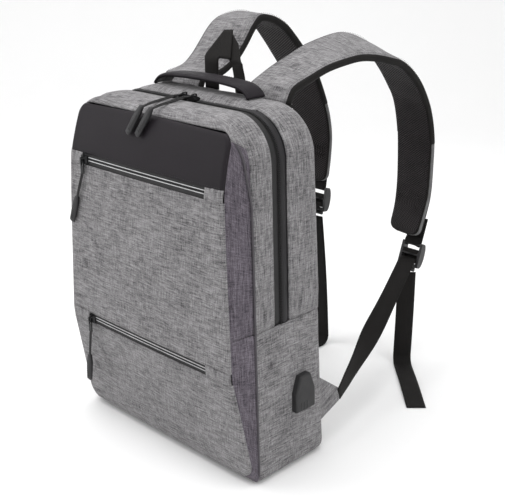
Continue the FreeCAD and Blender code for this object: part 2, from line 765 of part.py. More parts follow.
def tail(name, top, foot, turn):
    """Free end of the webbing: down to the floor, then along it."""
    drop = top.z - S["tail_floor"]
    bend = S["tail_round"]
    thick = S["web_thick"]
    left = -S["web_wide"] / 2
    back_top = Vector(left, thick / 2, 0)
    back_low = Vector(left, thick / 2, bend - drop)
    front_top = Vector(left, -thick / 2, 0)
    middle = Vector(left, thick / 2 - bend, bend - drop)

    def arc(radius, first, last):
        ends = []
        for part_turn in (first, (first + last) / 2, last):
            ends.append(middle + Vector(0, radius * math.cos(part_turn),
                                        radius * math.sin(part_turn)))
        return Part.Arc(*ends), ends

    outer_arc, outer_ends = arc(bend, 0, -math.pi / 2)
    inner_arc, inner_ends = arc(bend - thick, -math.pi / 2, 0)
    floor_out = outer_ends[2] - Y_AXIS * foot
    floor_in = floor_out + Z_AXIS * thick
    edges = [Part.LineSegment(back_top, back_low), outer_arc,
             Part.LineSegment(outer_ends[2], floor_out),
             Part.LineSegment(floor_out, floor_in),
             Part.LineSegment(floor_in, inner_ends[0]), inner_arc,
             Part.LineSegment(inner_ends[2], front_top),
             Part.LineSegment(front_top, back_top)]
    wire = Part.Wire([edge.toShape() for edge in edges])
    solid = Part.Face(wire).extrude(X_AXIS * S["web_wide"])
    item = doc.addObject("Part::Feature", name)
    item.Shape = solid
    item.Placement = Placement(top, Rotation(Z_AXIS, turn))
    return part(item)


side_slope = math.atan2((S["body_width_base"] - S["body_width_top"]) / 2,
                        S["body_height"])


def side_x(height):
    """Half width of the body at a height."""
    return S["body_width_base"] / 2 - height * math.tan(side_slope)


def back_depth(height):
    """Depth of the back wall at a height."""
    return (S["body_depth_base"]
            - height * math.tan(math.radians(back_lean)))


def strap_side(tag, sign, rows, x_outer, x_inner, tail_foot, tail_turn):
    """Strap, buckle, lower webbing, tail and bottom tab of one side."""
    tip, along, out, frames = strap("strap_pad_" + tag, rows, x_outer, x_inner)
    # short folded webbing, sewn on the outer face, to the upper bar
    gap = S["web_gap"]
    loop_start = (tip - along * S["loop_web_lap"]
                  + X_AXIS * S["lock_shift"]
                  + out * (S["strap_thick"] / 2 + S["web_thick"] / 2 + gap))
    loop_end = loop_start + along * S["loop_web_long"]
    ribbon_between("strap_end_loop_" + tag, loop_start, loop_end,
                   X_AXIS, X_AXIS)
    lock_top = loop_end + along * gap
    side = X_AXIS
    down = (along - side * along.dot(side)).normalize()
    back = down.cross(side).normalize()
    if back.dot(out) < 0:
        back = back * -1
        side = side * -1
    turn = Rotation(side, back, down, "ZXY")
    ladder_lock("ladder_lock_" + tag, lock_top, turn)
    hinges["strap_" + tag] = (frames[0][0] + frames[0][1]) / 2 \
        - frames[0][2] * (S["strap_thick"] / 2) + Y_AXIS * 3
    hinges["lock_" + tag] = loop_end
    # tab at the bottom of the rear side seam
    half = side_x(S["tab_root_high"]) - S["tab_side"]
    root_low = depth("(%r)" % (back_depth(S["tab_root_low"]) + 0.3))
    root_high = depth("(%r)" % (back_depth(S["tab_root_high"]) + 0.3))
    side_tab = slab("side_tab_" + tag, "YZ_Plane",
                    [(root_low, "tab_root_low"),
                     (depth("body_depth_base + tab_reach"), "tab_tip_low"),
                     (depth("body_depth_base + tab_reach"), "tab_tip_high"),
                     (root_high, "tab_root_high")], "side_tab_thick")
    side_tab.Placement = Placement(Vector(sign * half, 0, 0), Rotation())
    part(side_tab)
    tip_z = (S["tab_tip_low"] + S["tab_tip_high"]) / 2
    web_from = Vector(sign * half, front_y + S["body_depth_base"]
                      + S["tab_reach"] + S["tab_clear"], tip_z)
    lock_low = lock_top + down * (S["lock_long"] + S["lock_lip"])
    face = back * (-S["lock_thick"] / 2 - S["web_thick"] - 2 * gap)
    web_to = lock_top + down * (S["lock_long"] * 0.75) + face
    ribbon_between("lower_web_" + tag, web_from, web_to, Z_AXIS,
                   X_AXIS * -sign)
    top = lock_low + down * 2 * gap
    hinges["tail_" + tag] = top
    tail("tail_" + tag, Vector(top.x, top.y, top.z - gap), tail_foot,
         tail_turn)


strap_side("right", 1, RIGHT_STRAP, S["right_outer"], S["right_inner"],
           S["tail_right_foot"], S["tail_turn_right"])
strap_side("left", -1, LEFT_STRAP, -S["left_outer"], -S["left_inner"],
           S["tail_left_foot"], 0)

# ------------------------------------------------------------ charging port
# Built against a plane x = 0 and then leaned onto the sloping side wall.

hood_block = slab("hood_block", "YZ_Plane",
                  [("-hood_half_low", "hood_low"),
                   ("hood_half_low", "hood_low"),
                   ("hood_half_low", "hood_high - hood_neck"),
                   ("hood_half_high", "hood_high"),
                   ("-hood_half_high", "hood_high"),
                   ("-hood_half_low", "hood_high - hood_neck")],
                  "hood_proud")
round_edges(hood_block, "hood_block_edges", "hood_round",
            lambda e, c: c.x > S["hood_proud"] / 2 - 0.1 or
            runs_along(e, X_AXIS))
put(hood_block, x="hood_proud / 2 + hood_seat")
roof_x = "hood_seat + hood_proud - port_roof"
hood_hole = box("hood_hole", ("hood_seat + port_floor", roof_x),
                ("-port_half", "port_half"),
                ("hood_low - 5", "hood_low + port_deep"))
side_turn = Rotation(Y_AXIS, -math.degrees(side_slope))
side_foot = Vector(S["body_width_base"] / 2, front_y + S["hood_depth"], 0)
hood = cut("usb_hood", hood_block, hood_hole)
doc.recompute()
part(placed(hood, side_foot, side_turn))

mouth_mid = S["hood_seat"] + (S["port_floor"] + S["hood_proud"]
                              - S["port_roof"]) / 2
half_tall = S["socket_tall"] / 2
socket_low = "hood_low + socket_set_in"
socket_high = "hood_low + port_deep - socket_gap"
can = box("socket_can", ("%r - socket_tall / 2" % mouth_mid,
                         "%r + socket_tall / 2" % mouth_mid),
          ("-socket_wide / 2", "socket_wide / 2"), (socket_low, socket_high))
can_hole = box("socket_can_hole",
               ("%r - socket_tall / 2 + socket_wall" % mouth_mid,
                "%r + socket_tall / 2 - socket_wall" % mouth_mid),
               ("socket_wall - socket_wide / 2",
                "socket_wide / 2 - socket_wall"),
               (socket_low + " - 5", socket_high + " - 1"))
socket = cut("usb_socket", can, can_hole)
doc.recompute()
part(placed(socket, side_foot, side_turn))
tongue = box("usb_tongue",
             ("%r - socket_tall / 2 + socket_wall + 0.2" % mouth_mid,
              "%r - socket_tall / 2 + socket_wall + 0.2 + tongue_thick"
              % mouth_mid),
             ("-tongue_wide / 2", "tongue_wide / 2"),
             (socket_low + " + tongue_set_in", socket_high + " - 1.2"))
doc.recompute()
for path in ("x", "y", "z"):
    tongue.setExpression("Placement.Base." + path, None)
part(placed(tongue, side_foot, side_turn))

# ------------------------------------------------------------------- output

doc.recompute()
for item in doc.Objects:
    if "Invalid" in item.State or "Error" in item.State:
        raise RuntimeError("object failed: %s %s" % (item.Name, item.State))
for item in parts:
    if item.Shape.isNull() or not item.Shape.isValid() or not item.Shape.Solids:
        raise RuntimeError("bad shape: " + item.Label)
    if item.Shape.Volume <= 0:
        raise RuntimeError("empty shape: " + item.Label)

os.makedirs("parts", exist_ok=True)
for item in parts:
    item.Shape.exportStep(os.path.join("parts", item.Label + ".step"))
for name, point in sorted(hinges.items()):
    print("hinge %-16s %8.2f %8.2f %8.2f" % (name, point.x, point.y, point.z))
print(len(parts), "parts written")
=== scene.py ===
import math

import bmesh
import bpy
import numpy as np
from bpy.props import FloatProperty, FloatVectorProperty, PointerProperty
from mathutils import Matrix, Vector, noise


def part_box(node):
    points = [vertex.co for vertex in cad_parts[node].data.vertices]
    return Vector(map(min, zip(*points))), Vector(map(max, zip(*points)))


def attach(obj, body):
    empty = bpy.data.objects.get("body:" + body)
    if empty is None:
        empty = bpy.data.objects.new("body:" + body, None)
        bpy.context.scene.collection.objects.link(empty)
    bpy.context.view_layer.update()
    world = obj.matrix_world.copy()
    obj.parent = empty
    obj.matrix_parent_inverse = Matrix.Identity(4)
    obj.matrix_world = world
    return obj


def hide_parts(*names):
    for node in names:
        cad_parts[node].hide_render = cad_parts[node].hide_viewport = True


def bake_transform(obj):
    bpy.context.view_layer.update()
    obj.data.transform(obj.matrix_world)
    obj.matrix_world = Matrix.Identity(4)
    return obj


bl_info = {
    "name": "Laptop Backpack",
    "version": (1, 0, 0),
    "blender": (4, 5, 0),
    "location": "View3D > Sidebar > Backpack",
    "description": "Builds the fabric, zips, straps and stage of a laptop bag",
    "category": "Object",
}

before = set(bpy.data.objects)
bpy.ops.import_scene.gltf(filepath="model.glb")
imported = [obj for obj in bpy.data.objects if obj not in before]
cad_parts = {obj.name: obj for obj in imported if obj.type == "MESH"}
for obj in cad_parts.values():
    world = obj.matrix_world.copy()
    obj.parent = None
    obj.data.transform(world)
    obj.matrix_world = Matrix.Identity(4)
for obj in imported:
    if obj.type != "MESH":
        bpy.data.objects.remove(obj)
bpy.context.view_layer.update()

# ------------------------------------------------------------------ settings
# Shape values are in millimetres; meshes are written in metres.

MM = 0.001
FRONT = -58.5            # y of the main compartment's front wall
TALL = 412.0
FOLD_Z = 184.0
HALF_BASE, HALF_TOP = 150.0, 134.5
DEPTH_BASE, DEPTH_TOP = 117.0, 102.0
CORNER_TOP, CORNER_LOW = 50.0, 12.0
BAND_FROM, BAND_TO = 30.5, 54.5
LOW_ZIP, HIGH_ZIP, ZIP_MOUTH = 141.0, 340.0, 6.5
PANEL_TOP, PANEL_LOW = 402.0, 8.0
INSIDE = Vector((0.0, 0.0, 200.0))
PROUD_Z = (0, 8, 40, 76, 110, 134, 146, 200, 287, 335, 350, 374, 402, 412)
PROUD_Y = (7, 9, 15, 22, 29, 34, 35.4, 35, 34.4, 33, 31, 25, 16, 12)


def length(name, description, value):
    return FloatProperty(name=name, description=description,
                         default=value * MM, unit="LENGTH")


class BagSizes(bpy.types.PropertyGroup):
    wall: length("Wall", "Thickness of the fabric, foam and lining", 2.6)
    puff: length("Puff", "How far the padded sides swell out", 2.2)
    rumple: length("Rumple", "Height of the soft creases in the cloth", 0.9)
    piping: length("Piping", "Radius of the piping cord", 1.15)
    tooth_pitch: length("Tooth pitch",
                        "Distance from one zip tooth to the next", 1.9)
    stitch_pitch: length("Stitch pitch",
                         "Distance from one stitch to the next", 3.4)
    strap_thick: length("Strap thickness",
                        "Thickness of the padded straps", 10.5)
    webbing: length("Webbing width", "Width of the flat webbing", 25.0)


def colour(name, text, value):
    return FloatVectorProperty(name=name, description=text, default=value,
                               size=3, subtype="COLOR", min=0.0, max=1.0)


class BagColours(bpy.types.PropertyGroup):
    heather_light: colour("Heather light", "Pale threads of the main cloth",
                          (0.336, 0.328, 0.334))
    heather_dark: colour("Heather dark", "Dark threads of the main cloth",
                         (0.046, 0.043, 0.047))
    gusset_light: colour("Gusset light", "Pale threads of the pocket sides",
                         (0.19, 0.168, 0.198))
    gusset_dark: colour("Gusset dark", "Dark threads of the pocket sides",
                        (0.034, 0.028, 0.037))
    yoke: colour("Yoke", "Smooth coated cloth of the yoke and handle",
                 (0.0155, 0.013, 0.0158))
    webbing: colour("Webbing", "Flat black webbing", (0.0075, 0.0066, 0.0062))
    mesh: colour("Air mesh", "Spacer mesh of the strap undersides",
                 (0.0062, 0.0052, 0.0055))
    binding: colour("Binding", "Thin bound edge of the straps",
                    (0.13, 0.13, 0.13))
    reflector: colour("Reflective line", "Pale lines beside the zip coils",
                      (0.5, 0.5, 0.51))
    lining: colour("Lining", "Plain cloth inside", (0.045, 0.045, 0.05))
    floor: colour("Floor", "Pale floor", (0.93, 0.93, 0.93))


def sizes():
    return bpy.context.scene.bag_sizes


def colours():
    return bpy.context.scene.bag_colours


# --------------------------------------------------------------- node groups

class Nodes:
    """Short way to add and join nodes of one tree."""

    def __init__(self, tree):
        self.tree = tree

    def feed(self, socket, value):
        if isinstance(value, bpy.types.NodeSocket):
            self.tree.links.new(value, socket)
        else:
            socket.default_value = value

    def add(self, kind, inputs=(), **props):
        node = self.tree.nodes.new(kind)
        for name, value in props.items():
            setattr(node, name, value)
        for key, value in dict(inputs).items():
            self.feed(node.inputs[key], value)
        return node

    def math(self, kind, a, b=0.0, clamp=False):
        node = self.add("ShaderNodeMath", {0: a, 1: b}, operation=kind)
        node.use_clamp = clamp
        return node.outputs[0]

    def remap(self, value, low, high, to_low=0.0, to_high=1.0):
        node = self.add("ShaderNodeMapRange",
                        {0: value, 1: low, 2: high, 3: to_low, 4: to_high})
        return node.outputs[0]

    def mix(self, factor, a, b, blend="MIX"):
        node = self.add("ShaderNodeMix", data_type="RGBA", blend_type=blend)
        for index, value in ((0, factor), (6, a), (7, b)):
            self.feed(node.inputs[index], value)
        return node.outputs[2]

    def tint(self, base, value):
        """A colour times a grey value."""
        grey = self.add("ShaderNodeCombineColor",
                        {0: value, 1: value, 2: value})
        return self.mix(1.0, base, grey.outputs[0], "MULTIPLY")


def group(name, ins, outs):
    """New shader group with its named sockets; returns it and its nodes."""
    tree = bpy.data.node_groups.new(name, "ShaderNodeTree")
    for label, kind, value in ins:
        socket = tree.interface.new_socket(label, in_out="INPUT",
                                           socket_type=kind)
        if value is not None:
            socket.default_value = value
    for label, kind in outs:
        tree.interface.new_socket(label, in_out="OUTPUT", socket_type=kind)
    nodes = Nodes(tree)
    return tree, nodes, nodes.add("NodeGroupInput"), \
        nodes.add("NodeGroupOutput")


def in_mm(n, gin):
    """The cloth's own coordinates in millimetres, as separate sockets."""
    scaled = n.add("ShaderNodeVectorMath",
                   {0: gin.outputs["Vector"], 3: 1000.0}, operation="SCALE")
    return n.add("ShaderNodeSeparateXYZ", {0: scaled.outputs[0]}).outputs


FLOAT, COLOR, VECTOR = "NodeSocketFloat", "NodeSocketColor", "NodeSocketVector"


def woven_group():
    """Plain weave of mixed pale and dark threads with slubs both ways."""
    tree, n, gin, gout = group(
        "Heather weave",
        [("Vector", VECTOR, None), ("Pale", COLOR, (0.5, 0.5, 0.5, 1)),
         ("Dark", COLOR, (0.1, 0.1, 0.1, 1)), ("Thread", FLOAT, 0.9),
         ("Contrast", FLOAT, 1.0)],
        [("Color", COLOR), ("Height", FLOAT), ("Roughness", FLOAT)])
    part = in_mm(n, gin)
    u, v = part[0], part[1]

    def streak(across, along, detail, offset):
        spot = n.add("ShaderNodeCombineXYZ",
                     {0: n.math("MULTIPLY", u, across),
                      1: n.math("MULTIPLY", v, along), 2: offset})
        tex = n.add("ShaderNodeTexNoise", {"Vector": spot.outputs[0],
                                           "Scale": 1.0, "Detail": detail,
                                           "Roughness": 0.62})
        return tex.outputs[0]

    warp = streak(0.72, 0.085, 3.0, 3.1)
    weft = streak(0.075, 0.72, 3.0, 7.7)
    fine = streak(1.1, 1.1, 2.0, 1.3)
    blotch = streak(0.035, 0.035, 2.0, 5.5)
    threads = n.math("ADD", n.math("MULTIPLY", warp, 0.42),
                     n.math("MULTIPLY", weft, 0.58))
    threads = n.math("ADD", n.math("MULTIPLY", threads, 0.72),
                     n.math("MULTIPLY", fine, 0.28))
    threads = n.math("ADD", threads,
                     n.math("MULTIPLY", n.math("SUBTRACT", blotch, 0.5), 0.12))
    spread = n.math("MULTIPLY", n.math("SUBTRACT", threads, 0.5),
                    gin.outputs["Contrast"])
    level = n.remap(spread, -0.115, 0.125)
    cloth = n.mix(level, gin.outputs["Dark"], gin.outputs["Pale"])
    step = n.math("DIVIDE", 2 * math.pi, gin.outputs["Thread"])
    over = n.math("SINE", n.math("MULTIPLY", u, step))
    under = n.math("SINE", n.math("MULTIPLY", v, step))
    weave = n.math("MULTIPLY", over, under)
    shade = n.remap(weave, -1.0, 1.0, 0.86, 1.08)
    tree.links.new(n.tint(cloth, shade), gout.inputs["Color"])
    height = n.math("ADD", n.math("MULTIPLY", weave, 0.5),
                    n.math("MULTIPLY", threads, 1.4))
    tree.links.new(height, gout.inputs["Height"])
    tree.links.new(n.remap(level, 0, 1, 0.93, 0.8), gout.inputs["Roughness"])
    return tree


def drift_group():
    """Slow change of tone, as handling and light dust leave on cloth."""
    tree, n, gin, gout = group(
        "Tone drift",
        [("Vector", VECTOR, None), ("Color", COLOR, (0.5, 0.5, 0.5, 1)),
         ("Size", FLOAT, 25.0), ("Amount", FLOAT, 0.12)],
        [("Color", COLOR), ("Mask", FLOAT)])
    tex = n.add("ShaderNodeTexNoise", {"Vector": gin.outputs["Vector"],
                                       "Scale": gin.outputs["Size"],
                                       "Detail": 4.0, "Roughness": 0.6})
    low = n.math("SUBTRACT", 1.0, gin.outputs["Amount"])
    high = n.math("ADD", 1.0, gin.outputs["Amount"])
    value = n.remap(tex.outputs[0], 0.3, 0.7, low, high)
    tree.links.new(n.tint(gin.outputs["Color"], value), gout.inputs["Color"])
    tree.links.new(tex.outputs[0], gout.inputs["Mask"])
    return tree


def rib_group():
    """Ribs of flat webbing: fine rows across, broken into a twill."""
    tree, n, gin, gout = group(
        "Webbing rib",
        [("Vector", VECTOR, None), ("Color", COLOR, (0.02, 0.02, 0.02, 1)),
         ("Rib", FLOAT, 1.5), ("Cord", FLOAT, 2.2)],
        [("Color", COLOR), ("Height", FLOAT)])
    part = in_mm(n, gin)
    cord = n.math("DIVIDE", 2 * math.pi, gin.outputs["Cord"])
    across = n.math("ABSOLUTE", n.math(
        "SINE", n.math("MULTIPLY", part[1],
                       n.math("MULTIPLY", cord, 0.5))))
    slant = n.math("ADD", part[0],
                   n.math("MULTIPLY", part[1], 0.7))
    rib = n.math("DIVIDE", 2 * math.pi, gin.outputs["Rib"])
    rows = n.math("SINE", n.math("MULTIPLY", slant, rib))
    height = n.math("ADD", n.math("MULTIPLY", across, 0.6),
                    n.math("MULTIPLY", rows, 0.4))
    value = n.remap(height, -0.4, 1.0, 0.62, 1.3)
    tree.links.new(n.tint(gin.outputs["Color"], value), gout.inputs["Color"])
    tree.links.new(height, gout.inputs["Height"])
    return tree


def net_group():
    """Open diamonds of spacer mesh."""
    tree, n, gin, gout = group(
        "Air mesh",
        [("Vector", VECTOR, None), ("Color", COLOR, (0.02, 0.02, 0.02, 1)),
         ("Cell", FLOAT, 4.2)],
        [("Color", COLOR), ("Height", FLOAT)])
    part = in_mm(n, gin)
    step = n.math("DIVIDE", math.pi, gin.outputs["Cell"])
    down = n.math("MULTIPLY", part[1], 1.25)
    waves = []
    for sign in (1.0, -1.0):
        lean = n.math("ADD", part[0], n.math("MULTIPLY", down, sign))
        waves.append(n.math("ABSOLUTE", n.math(
            "SINE", n.math("MULTIPLY", lean, step))))
    cell = n.math("MULTIPLY", waves[0], waves[1])
    thread = n.remap(cell, 0.42, 0.12)
    value = n.remap(thread, 0.0, 1.0, 0.3, 7.0)
    tree.links.new(n.tint(gin.outputs["Color"], value), gout.inputs["Color"])
    tree.links.new(thread, gout.inputs["Height"])
    return tree


def speckle_group():
    """Fine grain of moulded plastic, rubber or paint, with rubbed spots."""
    tree, n, gin, gout = group(
        "Moulded grain",
        [("Vector", VECTOR, None), ("Color", COLOR, (0.05, 0.05, 0.05, 1)),
         ("Grain", FLOAT, 1400.0), ("Rough", FLOAT, 0.5)],
        [("Color", COLOR), ("Height", FLOAT), ("Roughness", FLOAT)])
    fine = n.add("ShaderNodeTexNoise", {"Vector": gin.outputs["Vector"],
                                        "Scale": gin.outputs["Grain"],
                                        "Detail": 3.0})
    rub = n.add("ShaderNodeTexNoise", {"Vector": gin.outputs["Vector"],
                                       "Scale": 90.0, "Detail": 3.0})
    tone = n.remap(rub.outputs[0], 0.35, 0.7, 0.88, 1.22)
    tree.links.new(n.tint(gin.outputs["Color"], tone), gout.inputs["Color"])
    tree.links.new(fine.outputs[0], gout.inputs["Height"])
    shine = n.math("ADD", gin.outputs["Rough"],
                   n.remap(rub.outputs[0], 0.3, 0.7, -0.08, 0.08))
    tree.links.new(shine, gout.inputs["Roughness"])
    return tree


# ----------------------------------------------------------------- materials

MATS = {}
GROUPS = {}


def start_material(name, coords="UV"):
    mat = bpy.data.materials.new(name)
    mat.use_nodes = True
    tree = mat.node_tree
    tree.nodes.clear()
    n = Nodes(tree)
    bsdf = n.add("ShaderNodeBsdfPrincipled")
    out = n.add("ShaderNodeOutputMaterial")
    tree.links.new(bsdf.outputs[0], out.inputs[0])
    where = n.add("ShaderNodeTexCoord").outputs[coords]
    MATS[name] = mat
    return n, bsdf, where


def use(n, key, inputs):
    return n.add("ShaderNodeGroup", inputs, node_tree=GROUPS[key])


def bump(n, bsdf, height, strength, distance):
    node = n.add("ShaderNodeBump", {"Height": height, "Strength": strength,
                                    "Distance": distance})
    n.tree.links.new(node.outputs[0], bsdf.inputs["Normal"])


def rgba(value):
    return tuple(value) + (1.0,)


def make_materials():
    c = colours()
    GROUPS.update(weave=woven_group(), drift=drift_group(), rib=rib_group(),
                  net=net_group(), grain=speckle_group())

    def worn(n, bsdf, where, base, size, amount):
        """Base colour that drifts slowly over the piece; returns the mask."""
        drift = use(n, "drift", {"Vector": where, "Size": size,
                                 "Color": base, "Amount": amount})
        n.tree.links.new(drift.outputs["Color"], bsdf.inputs["Base Color"])
        return drift.outputs["Mask"]

    def dull(n, bsdf, mask, low, high, start=0.3, stop=0.7):
        """Roughness between two values, from a mask."""
        n.tree.links.new(n.remap(mask, start, stop, low, high),
                         bsdf.inputs["Roughness"])

    def cloth(name, pale, dark, contrast, sheen, thread=0.9):
        n, bsdf, where = start_material(name)
        weave = use(n, "weave", {"Vector": where, "Pale": rgba(pale),
                                 "Dark": rgba(dark), "Contrast": contrast,
                                 "Thread": thread})
        worn(n, bsdf, where, weave.outputs["Color"], 14.0, 0.05)
        n.tree.links.new(weave.outputs["Roughness"],
                         bsdf.inputs["Roughness"])
        bsdf.inputs["Sheen Weight"].default_value = sheen
        bsdf.inputs["Sheen Roughness"].default_value = 0.5
        bsdf.inputs["Specular IOR Level"].default_value = 0.25
        bump(n, bsdf, weave.outputs["Height"], 0.55, 0.0003)

    cloth("heather cloth", c.heather_light, c.heather_dark, 1.0, 0.12)
    cloth("gusset cloth", c.gusset_light, c.gusset_dark, 1.0, 0.05)
    cloth("lining cloth", [v * 1.25 for v in c.lining],
          [v * 0.8 for v in c.lining], 0.7, 0.05, 0.5)

    n, bsdf, where = start_material("coated cloth")
    weave = use(n, "weave", {"Vector": where, "Thread": 0.5,
                             "Pale": rgba([v * 1.12 for v in c.yoke]),
                             "Dark": rgba([v * 0.9 for v in c.yoke]),
                             "Contrast": 0.5})
    dull(n, bsdf, worn(n, bsdf, where, weave.outputs["Color"], 9.0, 0.07),
         0.5, 0.62)
    bsdf.inputs["Specular IOR Level"].default_value = 0.14
    bump(n, bsdf, weave.outputs["Height"], 0.12, 0.0002)

    def ribbed(name, base, weave, drift, rough, depth, specular=0.5):
        n, bsdf, where = start_material(name)
        rib = use(n, "rib", {"Vector": where, "Color": rgba(base), **weave})
        dull(n, bsdf, worn(n, bsdf, where, rib.outputs["Color"], *drift),
             *rough)
        bsdf.inputs["Specular IOR Level"].default_value = specular
        bump(n, bsdf, rib.outputs["Height"], *depth)

    ribbed("webbing", c.webbing, {}, (30.0, 0.15), (0.72, 0.86),
           (0.6, 0.0003), 0.22)
    ribbed("zip tape", (0.006, 0.0055, 0.006), {"Rib": 0.9, "Cord": 1.7},
           (30.0, 0.1), (0.6, 0.75), (0.5, 0.0002))
    ribbed("rain flap cloth", (0.0085, 0.0075, 0.009),
           {"Rib": 60.0, "Cord": 2.6}, (20.0, 0.12), (0.5, 0.68),
           (0.5, 0.0004), 0.35)

    n, bsdf, where = start_material("air mesh")
    net = use(n, "net", {"Vector": where, "Color": rgba(c.mesh)})
    worn(n, bsdf, where, net.outputs["Color"], 25.0, 0.2)
    dull(n, bsdf, net.outputs["Height"], 0.9, 0.62, 0, 1)
    bsdf.inputs["Specular IOR Level"].default_value = 0.2
    bump(n, bsdf, net.outputs["Height"], 0.9, 0.0007)

    def moulded(name, base, rough, grain, strength, metal=0.0):
        n, bsdf, where = start_material(name, "Object")
        grit = use(n, "grain", {"Vector": where, "Color": rgba(base),
                                "Grain": grain, "Rough": rough})
        n.tree.links.new(grit.outputs["Color"], bsdf.inputs["Base Color"])
        n.tree.links.new(grit.outputs["Roughness"], bsdf.inputs["Roughness"])
        bsdf.inputs["Metallic"].default_value = metal
        bump(n, bsdf, grit.outputs["Height"], strength, 0.0002)
        return bsdf

    moulded("grip rubber", (0.013, 0.0125, 0.014), 0.55, 900.0, 0.35)
    moulded("hood rubber", (0.013, 0.0125, 0.0135), 0.6, 1200.0, 0.3)
    moulded("buckle plastic", (0.018, 0.0175, 0.0185), 0.42, 1500.0, 0.3)
    moulded("black metal", (0.012, 0.012, 0.013), 0.35, 2000.0, 0.15, 0.55)
    moulded("coil nylon", (0.008, 0.0075, 0.008), 0.4, 1800.0, 0.2)
    moulded("piping cord", (0.062, 0.056, 0.064), 0.75, 1500.0, 0.4)
    moulded("plated steel", (0.62, 0.62, 0.63), 0.28, 1500.0, 0.1, 1.0)
    moulded("port plastic", (0.8, 0.8, 0.78), 0.45, 1500.0, 0.1)
    moulded("thread grey", (0.12, 0.118, 0.12), 0.8, 1500.0, 0.3)
    moulded("thread black", (0.012, 0.011, 0.012), 0.7, 1500.0, 0.3)
    moulded("binding tape", c.binding, 0.8, 1600.0, 0.4)
    moulded("reflective line", c.reflector, 0.42, 1400.0, 0.25)
    moulded("cord braid", (0.01, 0.0095, 0.01), 0.7, 1500.0, 0.4)
    moulded("board", (0.06, 0.06, 0.065), 0.7, 700.0, 0.3)


# --------------------------------------------------------------- mesh making

def rumple(point, size, seed):
    """Soft unevenness of cloth at a point given in millimetres."""
    spot = Vector(point) / size + Vector((seed, seed * 0.7, seed * 1.3))
    return noise.noise(spot)


def finish_mesh(name, verts, faces, mats, face_mats=None, uvs=None,
                smooth=True):
    mesh = bpy.data.meshes.new(name)
    mesh.from_pydata([tuple(v * MM for v in p) for p in verts], [], faces)
    for mat in mats:
        mesh.materials.append(MATS[mat])
    if face_mats is not None:
        mesh.polygons.foreach_set("material_index", face_mats)
    if uvs is not None:
        layer = mesh.uv_layers.new(name="cut")
        flat = []
        for face in faces:
            for index in face:
                flat += [uvs[index][0] * MM, uvs[index][1] * MM]
        layer.data.foreach_set("uv", flat)
    mesh.polygons.foreach_set("use_smooth", [smooth] * len(mesh.polygons))
    mesh.validate()
    mesh.update()
    obj = bpy.data.objects.new(name, mesh)
    bpy.context.scene.collection.objects.link(obj)
    return obj


def grid_normals(grid, closed):
    """Unit normals of a grid of points, rows first."""
    g = np.asarray(grid, float)
    if closed:
        du = np.roll(g, -1, axis=0) - np.roll(g, 1, axis=0)
    else:
        du = np.gradient(g, axis=0)
    dv = np.gradient(g, axis=1)
    normal = np.cross(du, dv)
    length = np.linalg.norm(normal, axis=2, keepdims=True)
    bad = length[..., 0] < 1e-9
    normal = normal / np.maximum(length, 1e-9)
    if bad.any():
        rows, cols = np.where(bad)
        for i, j in zip(rows, cols):
            other = min(max(j + (1 if j == 0 else -1), 0), g.shape[1] - 1)
            normal[i, j] = normal[i, other]
    return normal


def thick_sheet(name, grid, thick, mats, closed=False, mask=None,
                away=INSIDE, uv_turn=False):
    """Closed cloth of a grid: outer face, lining face and the cut rims."""
    g = np.asarray(grid, float)
    rows, cols = g.shape[:2]
    normal = grid_normals(g, closed)
    middle = np.array(away)
    outward = np.sum(normal * (g - middle), axis=2).mean() > 0
    if not outward:
        normal = -normal
    inner = g - normal * thick
    verts = [tuple(p) for p in g.reshape(-1, 3)]
    verts += [tuple(p) for p in inner.reshape(-1, 3)]
    total = rows * cols
    run_u = np.zeros((rows, cols))
    run_u[1:] = np.cumsum(np.linalg.norm(np.diff(g, axis=0), axis=2), axis=0)
    run_v = np.zeros((rows, cols))
    run_v[:, 1:] = np.cumsum(np.linalg.norm(np.diff(g, axis=1), axis=2),
                             axis=1)
    mid = cols // 2
    run_u = np.repeat(run_u[:, mid:mid + 1], cols, axis=1)
    pairs = list(zip(run_u.ravel(), run_v.ravel()))
    if uv_turn:
        pairs = [(b, a) for a, b in pairs]
    uvs = pairs + pairs
    faces, kinds, edges = [], [], {}
    last = rows if closed else rows - 1
    for i in range(last):
        k = (i + 1) % rows
        for j in range(cols - 1):
            if mask is not None and not mask[i][j]:
                continue
            quad = [i * cols + j, k * cols + j, k * cols + j + 1,
                    i * cols + j + 1]
            if not outward:
                quad.reverse()
            faces.append(tuple(quad))
            kinds.append(0)
            faces.append(tuple(v + total for v in reversed(quad)))
            kinds.append(1 if len(mats) > 1 else 0)
            for a, b in zip(quad, quad[1:] + quad[:1]):
                edges[(a, b)] = edges.get((a, b), 0) + 1
    for (a, b) in list(edges):
        if (b, a) not in edges:
            faces.append((b, a, a + total, b + total))
            kinds.append(0)
    used = sorted({v for face in faces for v in face})
    slot = {v: i for i, v in enumerate(used)}
    faces = [tuple(slot[v] for v in face) for face in faces]
    return finish_mesh(name, [verts[v] for v in used], faces, mats, kinds,
                       [uvs[v] for v in used])


def skin(rings, size, flip=False):
    """Quads between closed rings of points, one ring after another."""
    faces = []
    for i in range(rings - 1):
        for m in range(size):
            k = (m + 1) % size
            quad = (i * size + m, i * size + k, (i + 1) * size + k,
                    (i + 1) * size + m)
            faces.append((quad[0],) + quad[:0:-1] if flip else quad)
    return faces


def caps(rings, size):
    """End faces of a skin of rings."""
    return [tuple(range(size))[::-1],
            tuple(range((rings - 1) * size, rings * size))]


